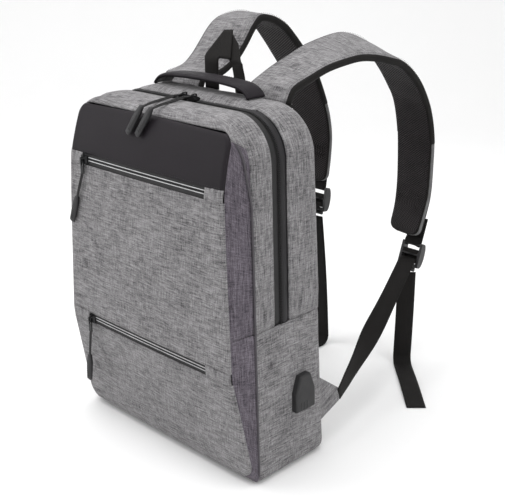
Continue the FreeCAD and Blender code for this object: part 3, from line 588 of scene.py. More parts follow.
def tube(name, points, radius, mat, sides=8):
    """Round cord along points in millimetres, with capped ends."""
    pts = [Vector(p) for p in points]
    count = len(pts)
    verts, uvs = [], []
    ref = None
    run = 0.0
    for i, p in enumerate(pts):
        ahead = pts[min(i + 1, count - 1)] - pts[max(i - 1, 0)]
        ahead.normalize()
        if ref is None:
            ref = ahead.orthogonal().normalized()
        ref = (ref - ahead * ref.dot(ahead)).normalized()
        side = ahead.cross(ref)
        if i:
            run += (p - pts[i - 1]).length
        for k in range(sides):
            turn = 2 * math.pi * k / sides
            verts.append(tuple(p + ref * radius * math.cos(turn)
                               + side * radius * math.sin(turn)))
            uvs.append((run, turn * radius))
    faces = skin(count, sides) + caps(count, sides)
    return finish_mesh(name, verts, faces, [mat], None, uvs)


def join(name, objects):
    """One mesh from several, keeping materials and UV maps."""
    with bpy.context.temp_override(active_object=objects[0],
                                   object=objects[0],
                                   selected_editable_objects=objects,
                                   selected_objects=objects):
        bpy.ops.object.join()
    objects[0].name = name
    objects[0].data.name = name
    return objects[0]


def smooth_line(points, count):
    """Even samples of a smooth curve through points of any size."""
    pts = np.asarray(points, float)
    ext = np.vstack([2 * pts[0] - pts[1], pts, 2 * pts[-1] - pts[-2]])
    dense = []
    for i in range(1, len(ext) - 2):
        p0, p1, p2, p3 = ext[i - 1:i + 3]
        for t in np.linspace(0, 1, 12, endpoint=False):
            dense.append(0.5 * (2 * p1 + (p2 - p0) * t
                                + (2 * p0 - 5 * p1 + 4 * p2 - p3) * t ** 2
                                + (3 * p1 - p0 - 3 * p2 + p3) * t ** 3))
    dense.append(pts[-1])
    dense = np.array(dense)
    run = np.concatenate([[0], np.cumsum(
        np.linalg.norm(np.diff(dense, axis=0), axis=1))])
    even = np.linspace(0, run[-1], count)
    return np.stack([np.interp(even, run, dense[:, k])
                     for k in range(dense.shape[1])], axis=1)


# ------------------------------------------------- rows along a path (nodes)

def row_tree():
    """Rounded pieces set at even steps along a line of points."""
    tree = bpy.data.node_groups.new("Row along a line", "GeometryNodeTree")
    face = tree.interface
    face.new_socket("Geometry", in_out="INPUT",
                    socket_type="NodeSocketGeometry")
    for label, value in (("Spacing", 0.003), ("Long", 0.002),
                         ("Wide", 0.0006), ("Tall", 0.0004),
                         ("Lift", 0.0), ("Slant", 0.0)):
        socket = face.new_socket(label, in_out="INPUT",
                                 socket_type="NodeSocketFloat")
        socket.default_value = value
    face.new_socket("Finish", in_out="INPUT",
                    socket_type="NodeSocketMaterial")
    face.new_socket("Geometry", in_out="OUTPUT",
                    socket_type="NodeSocketGeometry")
    n = Nodes(tree)
    gin, gout = n.add("NodeGroupInput"), n.add("NodeGroupOutput")
    curve = n.add("GeometryNodeMeshToCurve", {0: gin.outputs["Geometry"]})
    steps = n.add("GeometryNodeResampleCurve",
                  {0: curve.outputs[0], "Length": gin.outputs["Spacing"]},
                  mode="LENGTH")
    way = n.add("GeometryNodeInputNamedAttribute",
                {"Name": "face_way"}, data_type="FLOAT_VECTOR")
    tangent = n.add("GeometryNodeInputTangent")
    lift = n.add("ShaderNodeVectorMath", {0: way.outputs[0],
                                          3: gin.outputs["Lift"]},
                 operation="SCALE")
    raised = n.add("GeometryNodeSetPosition", {0: steps.outputs[0],
                                               "Offset": lift.outputs[0]})
    first = n.add("FunctionNodeAlignRotationToVector",
                  {"Vector": tangent.outputs[0]}, axis="X")
    second = n.add("FunctionNodeAlignRotationToVector",
                   {"Rotation": first.outputs[0],
                    "Vector": way.outputs[0]}, axis="Z", pivot_axis="X")
    spin = n.add("ShaderNodeCombineXYZ", {2: gin.outputs["Slant"]})
    turn = n.add("FunctionNodeEulerToRotation", {0: spin.outputs[0]})
    turned = n.add("FunctionNodeRotateRotation",
                   {0: second.outputs[0], 1: turn.outputs[0]},
                   rotation_space="LOCAL")
    ball = n.add("GeometryNodeMeshUVSphere", {"Segments": 8, "Rings": 5,
                                              "Radius": 0.5})
    size = n.add("ShaderNodeCombineXYZ",
                 {"X": gin.outputs["Long"], "Y": gin.outputs["Wide"],
                  "Z": gin.outputs["Tall"]})
    placed = n.add("GeometryNodeInstanceOnPoints",
                   {"Points": raised.outputs[0],
                    "Instance": ball.outputs[0],
                    "Rotation": turned.outputs[0],
                    "Scale": size.outputs[0]})
    real = n.add("GeometryNodeRealizeInstances", {0: placed.outputs[0]})
    soft = n.add("GeometryNodeSetShadeSmooth", {0: real.outputs[0]})
    done = n.add("GeometryNodeSetMaterial",
                 {0: soft.outputs[0], "Material": gin.outputs["Finish"]})
    tree.links.new(done.outputs[0], gout.inputs[0])
    return tree


def row(name, points, ways, mat, spacing, long, wide, tall, lift=0.0,
        slant=0.0):
    """Pieces of one size in a row, as a plain mesh. Sizes are in mm."""
    if "row" not in GROUPS:
        GROUPS["row"] = row_tree()
    mesh = bpy.data.meshes.new(name + "_line")
    mesh.from_pydata([tuple(v * MM for v in p) for p in points],
                     [(i, i + 1) for i in range(len(points) - 1)], [])
    attr = mesh.attributes.new("face_way", "FLOAT_VECTOR", "POINT")
    attr.data.foreach_set("vector", np.asarray(ways, float).ravel())
    line = bpy.data.objects.new(name + "_line", mesh)
    bpy.context.scene.collection.objects.link(line)
    mod = line.modifiers.new("row", "NODES")
    mod.node_group = GROUPS["row"]
    values = {"Spacing": spacing * MM, "Long": long * MM, "Wide": wide * MM,
              "Tall": tall * MM, "Lift": lift * MM, "Slant": slant,
              "Finish": MATS[mat]}
    for item in GROUPS["row"].interface.items_tree:
        if item.in_out == "INPUT" and item.name in values:
            mod[item.identifier] = values[item.name]
    graph = bpy.context.evaluated_depsgraph_get()
    plain = bpy.data.meshes.new_from_object(line.evaluated_get(graph))
    plain.name = name
    obj = bpy.data.objects.new(name, plain)
    bpy.context.scene.collection.objects.link(obj)
    bpy.data.objects.remove(line)
    return obj


# ------------------------------------------------------------- body outlines

def fillet(before, corner, after, radius, count):
    """Arc that rounds a corner of a flat outline."""
    a = (Vector(before) - Vector(corner)).normalized()
    b = (Vector(after) - Vector(corner)).normalized()
    half = a.angle(b) / 2
    reach = radius / math.tan(half)
    start = Vector(corner) + a * reach
    end = Vector(corner) + b * reach
    centre = Vector(corner) + (a + b).normalized() * radius / math.sin(half)
    first, last = start - centre, end - centre
    angle = first.angle(last)
    points = []
    for k in range(count):
        t = k / (count - 1)
        w0 = math.sin((1 - t) * angle) / math.sin(angle)
        w1 = math.sin(t * angle) / math.sin(angle)
        points.append(centre + first * w0 + last * w1)
    return points


COUNTS = {"base": 22, "low": 8, "side_low": 34, "side_high": 40, "top": 22,
          "roof": 22}


def half_loop(low, high, base, top, r_low, r_top):
    """Right half of an outline, bottom middle to top middle.

    Returns the points (x, z), the index at the fold and the index where
    the top corner is half way round.
    """
    p_low, p_high = Vector((low, base)), Vector((high, top))
    arc_low = fillet((0, base), p_low, p_high, r_low, COUNTS["low"])
    arc_top = fillet(p_low, p_high, (0, top), r_top, COUNTS["top"])
    at_fold = p_low + (p_high - p_low) * ((FOLD_Z - base) / (top - base))
    pts = [Vector((arc_low[0].x * t, base))
           for t in np.linspace(0, 1, COUNTS["base"])][:-1]
    pts += arc_low[:-1]
    pts += [arc_low[-1].lerp(at_fold, t)
            for t in np.linspace(0, 1, COUNTS["side_low"])][:-1]
    fold = len(pts)
    pts += [at_fold.lerp(arc_top[0], t)
            for t in np.linspace(0, 1, COUNTS["side_high"])][:-1]
    corner = len(pts) + COUNTS["top"] // 2
    pts += arc_top[:-1]
    pts += [arc_top[-1].lerp(Vector((0, top)), t)
            for t in np.linspace(0, 1, COUNTS["roof"])]
    return pts, fold, corner


def body_half(inset=0.0):
    return half_loop(HALF_BASE - inset, HALF_TOP - inset, inset, TALL - inset,
                     max(CORNER_LOW - inset, 1.5),
                     max(CORNER_TOP - inset, 2.0))


def panel_half_width(z):
    """Half width of the pocket's front panel at a height."""
    return 148.2 - 0.0588 * z


def panel_half_loop():
    return half_loop(panel_half_width(PANEL_LOW),
                     panel_half_width(PANEL_TOP), PANEL_LOW, PANEL_TOP,
                     20.0, 16.0)


def proud(z):
    """How far the pocket stands in front of the body at a height."""
    spread = np.linspace(-7, 7, 9)
    return float(np.mean(np.interp(z + spread, PROUD_Z, PROUD_Y)))


def front_y(x, z, width):
    """Front of the softly crowned pocket panel at a point."""
    return FRONT - proud(z) - sizes().puff / MM * 0.8 * (1 - (x / width) ** 2)


def back_depth(z):
    return DEPTH_BASE + (DEPTH_TOP - DEPTH_BASE) * z / TALL


def outward(points):
    """Unit normals of a run of (x, z) points that faces out of the bag."""
    normals = []
    for i in range(len(points)):
        a = points[max(i - 1, 0)]
        b = points[min(i + 1, len(points) - 1)]
        d = (b - a).normalized()
        n = Vector((d.y, -d.x))
        normals.append(n)
    return normals


def full_run(half, start, stop):
    """Right half from start to stop, then the left half back."""
    right = half[start:stop + 1]
    left = [Vector((-p.x, p.y)) for p in reversed(right)]
    if abs(right[-1].x) < 1e-6:
        left = left[1:]
    return right + left


def run_normals(run):
    normals = outward(run)
    fixed = []
    for p, n in zip(run, normals):
        centre = Vector((0.0, 200.0))
        if n.dot(p - centre) < 0:
            n = -n
        fixed.append(n)
    return fixed


def swell(t):
    """Crown across a strip, from 0 at its edges to 1 in the middle."""
    return max(0.0, 1 - (2 * t - 1) ** 2) ** 0.7


# -------------------------------------------------------------- body pieces

def build_lower_body():
    """Lower walls and base, up to the seam at the lower zip ends."""
    s = sizes()
    puff, creases = s.puff / MM, s.rumple / MM
    rows = []
    heights = [0, 0.6, 1.8, 3.6, 6, 9, 12] + list(
        np.linspace(18, FOLD_Z, 40))
    ring_counts = (26, 6, 22, 6)
    for z in heights:
        tuck = 0.0
        if z < CORNER_LOW:
            tuck = CORNER_LOW - math.sqrt(
                CORNER_LOW ** 2 - (CORNER_LOW - z) ** 2)
        half = HALF_BASE + (HALF_TOP - HALF_BASE) * z / TALL - tuck
        y0 = FRONT + tuck * 0.7
        y1 = FRONT + back_depth(z) - tuck
        corners = [(-half, y0, 4.0), (half, y0, 4.0), (half, y1, 13.0),
                   (-half, y1, 13.0)]
        ring = []
        for k in range(4):
            x, y, r = corners[k]
            px, py, _ = corners[k - 1]
            nx, ny, nr = corners[(k + 1) % 4]
            arc = fillet((px, py), (x, y), (nx, ny), max(r, 1.5), 7)
            following = fillet((x, y), (nx, ny),
                               corners[(k + 2) % 4][:2], max(nr, 1.5), 7)[0]
            ring += arc[:-1]
            ring += [arc[-1].lerp(following, t) for t in
                     np.linspace(0, 1, ring_counts[k], endpoint=False)]
        row_points = []
        count = len(ring)
        for i, p in enumerate(ring):
            tangent = (ring[(i + 1) % count] - ring[i - 1]).normalized()
            n = Vector((tangent.y, -tangent.x))
            side = 0.0
            if abs(p.x) > half - 1:
                t = (p.y - y0) / (y1 - y0)
                side = puff * swell(t) * min(1.0, z / 25)
                side *= 0.35 + 0.65 * min(1.0, (FOLD_Z - z) / 30)
            if p.y > y1 - 1:
                side = puff * 0.6 * swell((p.x + half) / (2 * half))
            crease = creases * rumple((p.x, p.y, z), 46, 2.0)
            crease *= min(1.0, z / 20) * min(1.0, (FOLD_Z - z) / 12)
            if p.y < FRONT + 2:
                crease, side = 0.0, 0.0
            move = side + crease
            row_points.append((p.x + n.x * move, p.y + n.y * move, z))
        rows.append(row_points)
    grid = np.array(rows).transpose(1, 0, 2)
    walls = thick_sheet("lower_walls", grid, s.wall / MM,
                        ["heather cloth", "lining cloth"], closed=True)
    ring = grid[:, 0]
    centre = ring.mean(axis=0)
    base_rows = []
    for shrink in np.linspace(1.0, 0.04, 12):
        base_rows.append(centre + (ring - centre) * shrink)
    base = np.array(base_rows).transpose(1, 0, 2)
    bottom = thick_sheet("base_panel", base, s.wall / MM,
                         ["gusset cloth", "lining cloth"], closed=True,
                         away=(0, 0, 100))
    for piece in (walls, bottom):
        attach(piece, "pack")
    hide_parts("lower_shell")


def arch():
    """Outline of the arch above the fold, and its outward normals."""
    half, fold, _ = body_half()
    run = full_run(half, fold, len(half) - 1)
    return run, run_normals(run)


def build_rear_body():
    """Arch behind the main zip, and the back wall above the seam."""
    s = sizes()
    puff, creases = s.puff / MM * 1.4, s.rumple / MM
    run, normals = arch()
    turn = 12.0
    grid = []
    for p, n in zip(run, normals):
        back = back_depth(p.y)
        line = []
        for t in np.linspace(0, 1, 16):
            v = BAND_TO + (back - turn - BAND_TO) * t
            lift = puff * swell(0.5 * t + 0.05)
            seam = min(1.0, t * 8)
            crease = creases * 1.3 * rumple((p.x, v, p.y), 42, 5.0) * seam
            fade = min(1.0, (p.y - FOLD_Z) / 22)
            move = (lift * seam + crease) * fade
            line.append((p.x + n.x * move, FRONT + v, p.y + n.y * move))
        for t in np.linspace(0.12, 1, 7):
            a = t * math.pi / 2
            tuck = turn * (1 - math.cos(a)) - puff * 0.9 * (1 - t) \
                * min(1.0, (p.y - FOLD_Z) / 22)
            line.append((p.x - n.x * tuck,
                         FRONT + back - turn + turn * math.sin(a),
                         p.y - n.y * tuck))
        grid.append(line)
    walls = thick_sheet("rear_walls", grid, s.wall / MM,
                        ["heather cloth", "lining cloth"])
    half, fold, _ = body_half(turn)
    rows = []
    for p in half[fold:]:
        line = []
        for t in np.linspace(-1, 1, 31):
            sag = 1.2 * rumple((p.x * t, 0, p.y), 70, 8.0)
            sag *= (1 - t * t)
            line.append((p.x * t, FRONT + back_depth(p.y) + sag, p.y))
        rows.append(line)
    back = thick_sheet("back_wall", rows, s.wall / MM,
                       ["heather cloth", "lining cloth"])
    for piece in (walls, back):
        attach(piece, "pack")
    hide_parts("rear_shell")


def lip_point(p, q, t):
    """Point between the body's front corner and the panel edge."""
    start = Vector((p.x, FRONT + 0.5, p.y))
    end = Vector((q.x, FRONT - proud(q.y) + 4.0, q.y))
    return start.lerp(end, t)


def build_flap():
    """Front of the main compartment: arch, top lip and front wall."""
    s = sizes()
    puff, creases = s.puff / MM, s.rumple / MM
    run, normals = arch()
    _, fold, corner = body_half()
    corner -= fold
    panel, _, _ = panel_half_loop()
    edge = full_run(panel, fold, len(panel) - 1)
    count = len(run)
    strip_cols, lip_cols = 12, 9
    grid, mask, strip_mask = [], [], []
    for k, (p, n) in enumerate(zip(run, normals)):
        line = []
        fade = min(1.0, (p.y - FOLD_Z) / 20)
        for t in np.linspace(0, 1, strip_cols):
            v = BAND_FROM * (1 - t)
            lift = (puff * 0.75 * swell(0.08 + 0.8 * t)
                    + creases * rumple((p.x, v, p.y), 38, 3.0)
                    * min(1.0, 6 * t)) * fade
            edge_round = 1.5 * max(0.0, t - 0.86) / 0.14
            line.append((p.x + n.x * (lift - edge_round), FRONT + v,
                         p.y + n.y * (lift - edge_round)))
        top_side = corner - 6 < k < count - 1 - (corner - 6)
        for t in np.linspace(1.0 / lip_cols, 1, lip_cols):
            point = lip_point(p, edge[k], t)
            bulge = 2.0 * math.sin(math.pi * t) if top_side else 0.0
            ease = (1 - t) * 1.5
            line.append((point.x + n.x * (bulge - ease), point.y - bulge * 0.4,
                         point.z + n.y * (bulge - ease)))
        grid.append(line)
        mask.append([j < strip_cols - 1 or top_side
                     for j in range(len(line) - 1)])
        strip_mask.append([j >= strip_cols - 1 and not top_side
                           for j in range(len(line) - 1)])
    arch_piece = thick_sheet("flap_arch", grid, s.wall / MM,
                             ["heather cloth", "lining cloth"], mask=mask)
    sides = thick_sheet("pocket_sides_high", grid, 1.6,
                        ["gusset cloth", "lining cloth"], mask=strip_mask)
    half, fold, _ = body_half(1.5)
    rows = []
    for p in half[fold:]:
        rows.append([(p.x * t, FRONT + 1.0, p.y)
                     for t in np.linspace(-1, 1, 25)])
    wall = thick_sheet("flap_wall", rows, s.wall / MM,
                       ["lining cloth", "lining cloth"])
    for piece in (arch_piece, sides, wall):
        bend(piece)
    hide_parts("flap_shell")
    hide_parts("gusset_high_left", "gusset_high_right")


def bend(piece):
    """Cloth that crosses the flap's fold line: its transform is baked into its
    mesh.
    """
    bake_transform(piece)


def panel_grid(z_from, z_to, rows, low_edge, top_edge, seed, crease=1.0):
    """Front panel between two heights, its outer edges turned under."""
    s = sizes()
    turn = 4.0
    half, _, _ = panel_half_loop()
    xs = np.array([p.x for p in half])
    zs = np.array([p.y for p in half])
    order = np.argsort(zs, kind="stable")
    side = np.concatenate([np.linspace(0, 0.86, 22),
                           1 - 0.14 * (np.linspace(1, 0, 12)[1:]) ** 1.6])
    ts = np.concatenate([-side[::-1][:-1], side])
    grid = []
    for z in np.linspace(z_from, z_to, rows):
        width = float(np.interp(z, zs[order], xs[order]))
        line = []
        for t in ts:
            x = width * t
            gap = width - abs(x)
            if low_edge:
                gap = min(gap, z - z_from)
            if top_edge:
                gap = min(gap, z_to - z)
            under = 0.0
            if gap < turn:
                under = turn - math.sqrt(max(0, turn ** 2
                                             - (turn - gap) ** 2))
            soft = min(1.0, gap / 18)
            swell_out = s.puff / MM * 0.8 * (1 - t * t) * soft
            fold = s.rumple / MM * crease * rumple((x, 0, z), 52, seed) * soft
            line.append((x, FRONT - proud(z) - swell_out - fold + under, z))
        grid.append(line)
    return grid


def build_pockets():
    """Pocket panels, yoke and pocket sides; the piping round them is built by
    build_piping.
    """
    s = sizes()
    wall = s.wall / MM * 0.8
    low = thick_sheet("low_panel",
                      panel_grid(PANEL_LOW, LOW_ZIP - ZIP_MOUTH, 46, True,
                                 False, 11.0, 1.3),
                      wall, ["heather cloth", "lining cloth"], uv_turn=True)
    high = thick_sheet("front_panel",
                       panel_grid(LOW_ZIP + ZIP_MOUTH, HIGH_ZIP - ZIP_MOUTH,
                                  60, False, False, 12.0, 1.3),
                       wall, ["heather cloth", "lining cloth"], uv_turn=True)
    yoke = thick_sheet("yoke",
                       panel_grid(HIGH_ZIP + ZIP_MOUTH, PANEL_TOP, 28, False,
                                  True, 13.0, 0.9),
                       wall, ["coated cloth", "lining cloth"], uv_turn=True)
    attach(low, "pack")
    bend(high)
    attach(yoke, "flap")
    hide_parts("pocket_panel_low", "pocket_roof_low")
    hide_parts("pocket_panel_mid", "pocket_panel_high",
                "pocket_floor_high")
    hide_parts("yoke_panel")
    # dark side strips below the fold
    body, fold, _ = body_half()
    panel, _, _ = panel_half_loop()
    right = body[:fold + 1]
    run = [Vector((-p.x, p.y)) for p in reversed(right)] + right[1:]
    right = panel[:fold + 1]
    edge = [Vector((-p.x, p.y)) for p in reversed(right)] + right[1:]
    grid = []
    for k, p in enumerate(run):
        inner = Vector((p.x, max(p.y, 2.5)))
        grid.append([tuple(lip_point(inner, edge[k], t))
                     for t in np.linspace(0, 1, 9)])
    sides = thick_sheet("pocket_sides_low", grid, 1.6,
                        ["gusset cloth", "lining cloth"])
    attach(sides, "pack")
    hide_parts("gusset_low_left", "gusset_low_right")


def piping_line(sign, low, high):
    """Points along the front corner of the body on one side."""
    body, _, corner = body_half()
    panel, _, _ = panel_half_loop()
    points = []
    top = corner - 4
    ease_from = top - 16
    for k in range(len(body)):
        p = body[k]
        if not low <= p.y <= high or k > top or (k < 10 and p.x < 120):
            continue
        point = Vector((p.x + 0.4, FRONT + 0.4, p.y))
        if k > ease_from:
            t = ((k - ease_from) / (top - ease_from)) ** 1.5
            q = panel[k]
            target = Vector((q.x, FRONT - proud(q.y) + 4.5, q.y))
            point = point.lerp(target, 0.8 * t)
        points.append((sign * point.x, point.y, point.z))
    return points


def build_piping():
    s = sizes()
    radius = s.piping / MM
    for side, sign in (("left", -1), ("right", 1)):
        low = tube("piping_low_" + side,
                   piping_line(sign, 10, FOLD_Z + 0.01), radius,
                   "piping cord")
        high = tube("piping_high_" + side,
                    piping_line(sign, FOLD_Z - 0.01, 411), radius,
                    "piping cord")
        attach(low, "pack")
        bend(high)
        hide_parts("piping_low_" + side)
        if side == "left":
            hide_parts("piping_high")


def build_main_zip():
    """Tape, rain flap and coil of the main zip, front and rear halves."""
    s = sizes()
    middle = (BAND_FROM + BAND_TO) / 2
    run, normals = arch()
    specs = (("front", BAND_FROM - 0.6, middle - 0.7, "flap",
              "zip_tape_front"),
             ("rear", middle + 0.7, BAND_TO + 0.6, "pack", "zip_tape_rear"))
    for tag, v0, v1, body, node in specs:
        grid = []
        for p, n in zip(run, normals):
            line = []
            for t in np.linspace(0, 1, 9):
                v = v0 + (v1 - v0) * t
                if tag == "rear":
                    lift = -1.4 + 2.0 * math.sin(math.pi * min(1, 0.15 + t)) \
                        ** 0.8
                    lift = lift if t > 0.05 else -1.2
                else:
                    lift = -0.9 - 0.7 * t
                line.append((p.x + n.x * lift, FRONT + v,
                             p.y + n.y * lift))
            grid.append(line)
        mat = "rain flap cloth" if tag == "rear" else "zip tape"
        tape = thick_sheet("main_tape_" + tag, grid, 1.0,
                           [mat, "zip tape"])
        side = -1.0 if tag == "front" else 1.0
        points = [(p.x + n.x * -0.9, FRONT + middle + side * 0.75,
                   p.y + n.y * -0.9) for p, n in zip(run, normals)]
        ways = [(n.x, 0, n.y) for n in normals]
        coil = row("main_coil_" + tag, points, ways, "coil nylon",
                   s.tooth_pitch / MM, 1.1, 3.0, 1.7)
        if body == "flap":
            bend(tape)
            bend(coil)
        else:
            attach(tape, "pack")
            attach(coil, "pack")
        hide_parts(node)


def build_pocket_zips():
    """Tapes, coils, pale lines and grey end tabs of the pocket zips."""
    s = sizes()
    for tag, z_mid, body in (("low", LOW_ZIP, "pack"),
                             ("high", HIGH_ZIP, "flap")):
        width = panel_half_width(z_mid) - 2
        xs = np.linspace(-107, 107, 60)
        grid = []
        for x in xs:
            grid.append([(x, front_y(x, z, width) + 1.3, z)
                         for z in np.linspace(z_mid - ZIP_MOUTH - 1.5,
                                              z_mid + ZIP_MOUTH + 1.5, 7)])
        tape = thick_sheet("pocket_tape_" + tag, grid, 0.9,
                           ["zip tape", "zip tape"])
        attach(tape, body)
        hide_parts("pocket_zip_tape_" + tag)
        reach = 103.0
        span = np.linspace(-reach, reach, 60)

        def line(z, out):
            return [(x, front_y(x, z, width) + 1.3 - out, z) for x in span]

        coil = row("pocket_coil_" + tag, line(z_mid + 0.8, 0.5),
                   [(0, -1, 0)] * len(span), "coil nylon",
                   s.tooth_pitch / MM * 0.8, 1.0, 2.2, 1.3)
        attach(coil, body)
        stripes = []
        for k, dz in enumerate((-1.0, 2.6)):
            rows = []
            for x, y, z in line(z_mid + dz, 0.35):
                rows.append([(x, y, z - 0.55), (x, y - 0.15, z),
                             (x, y, z + 0.55)])
            stripes.append(thick_sheet("stripe_%d" % k, rows, 0.5,
                                       ["reflective line"]))
        stripe = join("pocket_lines_" + tag, stripes)
        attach(stripe, body)
        ends = []
        for sign in (-1, 1):
            start, stop = reach, panel_half_width(z_mid) - 0.3
            rows = []
            for x in np.linspace(start, stop, 12):
                gap = panel_half_width(z_mid) - x
                under = 4 - math.sqrt(max(0, 16 - (4 - gap) ** 2)) \
                    if gap < 4 else 0.0
                first = 0.5 if x > start else 0.1
                rows.append([(sign * x, front_y(x, z, width) - first
                              * math.sin(math.pi * u) ** 0.3 + under, z)
                             for u, z in zip(
                                 np.linspace(0.04, 0.96, 8),
                                 np.linspace(z_mid - ZIP_MOUTH - 0.6,
                                             z_mid + ZIP_MOUTH + 0.6, 8))])
            ends.append(thick_sheet("end_%d" % sign, rows, 1.2,
                                    ["heather cloth"], uv_turn=True))
        tabs = join("zip_end_tabs_" + tag, ends)
        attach(tabs, body)
        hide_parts("zip_ends_" + tag)


# ----------------------------------------------------- straps and webbing

ROOT_Y, ROOT_Z = FRONT + DEPTH_TOP, TALL
RIGHT_STRAP = [((-10.5, 0.6), (-10.5, 0.6)), ((-7, 7), (-7, 7)),
               ((-3, 14), (-3, 14)), ((4, 20), (6, 19)), ((30, 28), (34, 31)),
               ((60, 36), (63, 41)), ((94, 40), (91, 50)),
               ((123, 41), (137, 58)), ((154, 37), (166, 58)),
               ((185, 30), (196, 50)), ((206, 24), (224, 33)),
               ((229, 9), (246, 13)), ((251, -12), (267, -11)),
               ((272, -45), (286, -38)), ((284, -84), (298, -78)),
               ((286, -122), (303, -118)), ((285, -162), (305, -160)),
               ((278, -187), (303, -192)), ((270, -207), (297, -214))]
LEFT_STRAP = [((-10.5, 0.6), (-10.5, 0.6)), ((-7, 7), (-7, 7)),
              ((-3, 14), (-3, 14)), ((8, 16), (12, 16)), ((24, 20), (34, 22)),
              ((39, 31), (54, 34)), ((54, 47), (68, 48)),
              ((68, 62), (82, 66)), ((84, 72), (96, 78)),
              ((110, 77), (115, 77)), ((133, 76), (134, 70)),
              ((153, 66), (151, 59)), ((175, 43), (176, 35)),
              ((191, 24), (193, 16)), ((208, 2), (210, -8)),
              ((228, -38), (227, -41)), ((239, -67), (238, -70)),
              ((245, -94), (243, -98)), ((246, -122), (242, -127)),
              ((242, -150), (239, -150))]
STRAPS = {"right": (RIGHT_STRAP, 100.0, 35.0),
          "left": (LEFT_STRAP, -105.0, -40.0)}


def strap_rows(side, count):
    """Outer edge, inner edge, outward normal and direction, evenly set."""
    rows, x_out, x_in = STRAPS[side]
    flat = [(a[0], a[1], b[0], b[1]) for a, b in rows]
    even = smooth_line(flat, count)
    frames = []
    for i, (ay, az, by, bz) in enumerate(even):
        a = Vector((x_out, ROOT_Y + ay, ROOT_Z + az))
        b = Vector((x_in, ROOT_Y + by, ROOT_Z + bz))
        p = even[max(i - 1, 0)]
        q = even[min(i + 1, count - 1)]
        along = Vector((0, q[0] + q[2] - p[0] - p[2],
                        q[1] + q[3] - p[1] - p[3])).normalized()
        across = b - a
        across = (across - along * across.dot(along)).normalized()
        out = along.cross(across)
        if not frames and out.z < 0:
            out = -out
        if frames and out.dot(frames[-1][2]) < 0:
            out = -out
        frames.append((a, b, out, along))
    return frames


def strap_parts(side):
    """Rows of the strap with its rounded toe, and the half widths."""
    frames = strap_rows(side, 84)
    rows = []
    for a, b, out, along in frames:
        mid = (a + b) / 2
        across = (b - a)
        half = across.length / 2
        rows.append([mid, across.normalized(), out, along, half])
    mid, across, out, along, half = rows[-1]
    toe = 14.0
    for k in range(1, 9):
        t = k / 8
        shrink = math.sqrt(max(0.0, 1 - t ** 2.6))
        rows.append([mid + along * toe * t, across, out, along,
                     max(half * (0.42 + 0.58 * shrink), 12.5)])
    return rows


def run_lengths(rows):
    run = [0.0]
    for p, q in zip(rows, rows[1:]):
        run.append(run[-1] + (q[0] - p[0]).length)
    return run


def face_grid(rows, thick, level, crown, cols, seed, creases):
    """Grid over one face of the strap; level 0 is outside, 1 inside."""
    run = run_lengths(rows)
    total = run[-1]
    grid = []
    for i, (mid, across, out, _, half) in enumerate(rows):
        line = []
        for u in np.linspace(-1, 1, cols):
            edge = abs(u) ** 4
            lift = crown * (1 - edge)
            end = min(1.0, run[i] / 14, (total - run[i]) / 12)
            lift *= max(0.15, end)
            crease = creases * rumple((u * half, run[i], 0), 20, seed) \
                * (1 - edge) * end
            point = mid + across * half * u
            depth = thick * level
            if level:
                point = point - out * (depth + lift + crease)
            else:
                point = point + out * (lift + crease) - out * depth
            line.append(tuple(point))
        grid.append(line)
    return grid


def puffed(obj, cap):
    """Swell a closed pad with a short cloth run; its move is capped."""
    scene = bpy.context.scene
    copy = obj.copy()
    copy.data = obj.data.copy()
    scene.collection.objects.link(copy)
    before = np.empty(len(copy.data.vertices) * 3)
    copy.data.vertices.foreach_get("co", before)
    pins = copy.vertex_groups.new(name="pins")
    edge = obj.vertex_groups.get("edge")
    for vert in obj.data.vertices:
        weight = 0.0
        for item in vert.groups:
            if edge and item.group == edge.index:
                weight = item.weight
        pins.add([vert.index], max(weight, 0.02), "REPLACE")
    cloth = copy.modifiers.new("swell", "CLOTH")
    cloth.settings.use_pressure = True
    cloth.settings.uniform_pressure_force = 4.0
    cloth.settings.effector_weights.gravity = 0.0
    cloth.settings.vertex_group_mass = "pins"
    cloth.settings.pin_stiffness = 5.0
    cloth.settings.mass = 0.3
    cloth.settings.tension_stiffness = 25
    cloth.settings.compression_stiffness = 25
    cloth.settings.bending_stiffness = 2.5
    cloth.collision_settings.use_self_collision = False
    for frame_no in range(1, 21):
        scene.frame_set(frame_no)
    graph = bpy.context.evaluated_depsgraph_get()
    done = copy.evaluated_get(graph).to_mesh()
    after = np.empty(len(done.vertices) * 3)
    done.vertices.foreach_get("co", after)
    move = (after - before).reshape(-1, 3)
    length = np.linalg.norm(move, axis=1, keepdims=True)
    move *= np.minimum(1.0, cap * MM / np.maximum(length, 1e-9))
    obj.data.vertices.foreach_set("co",
                                  (before.reshape(-1, 3) + move).ravel())
    obj.data.update()
    copy.evaluated_get(graph).to_mesh_clear()
    bpy.data.objects.remove(copy)
    scene.frame_set(1)
    return obj


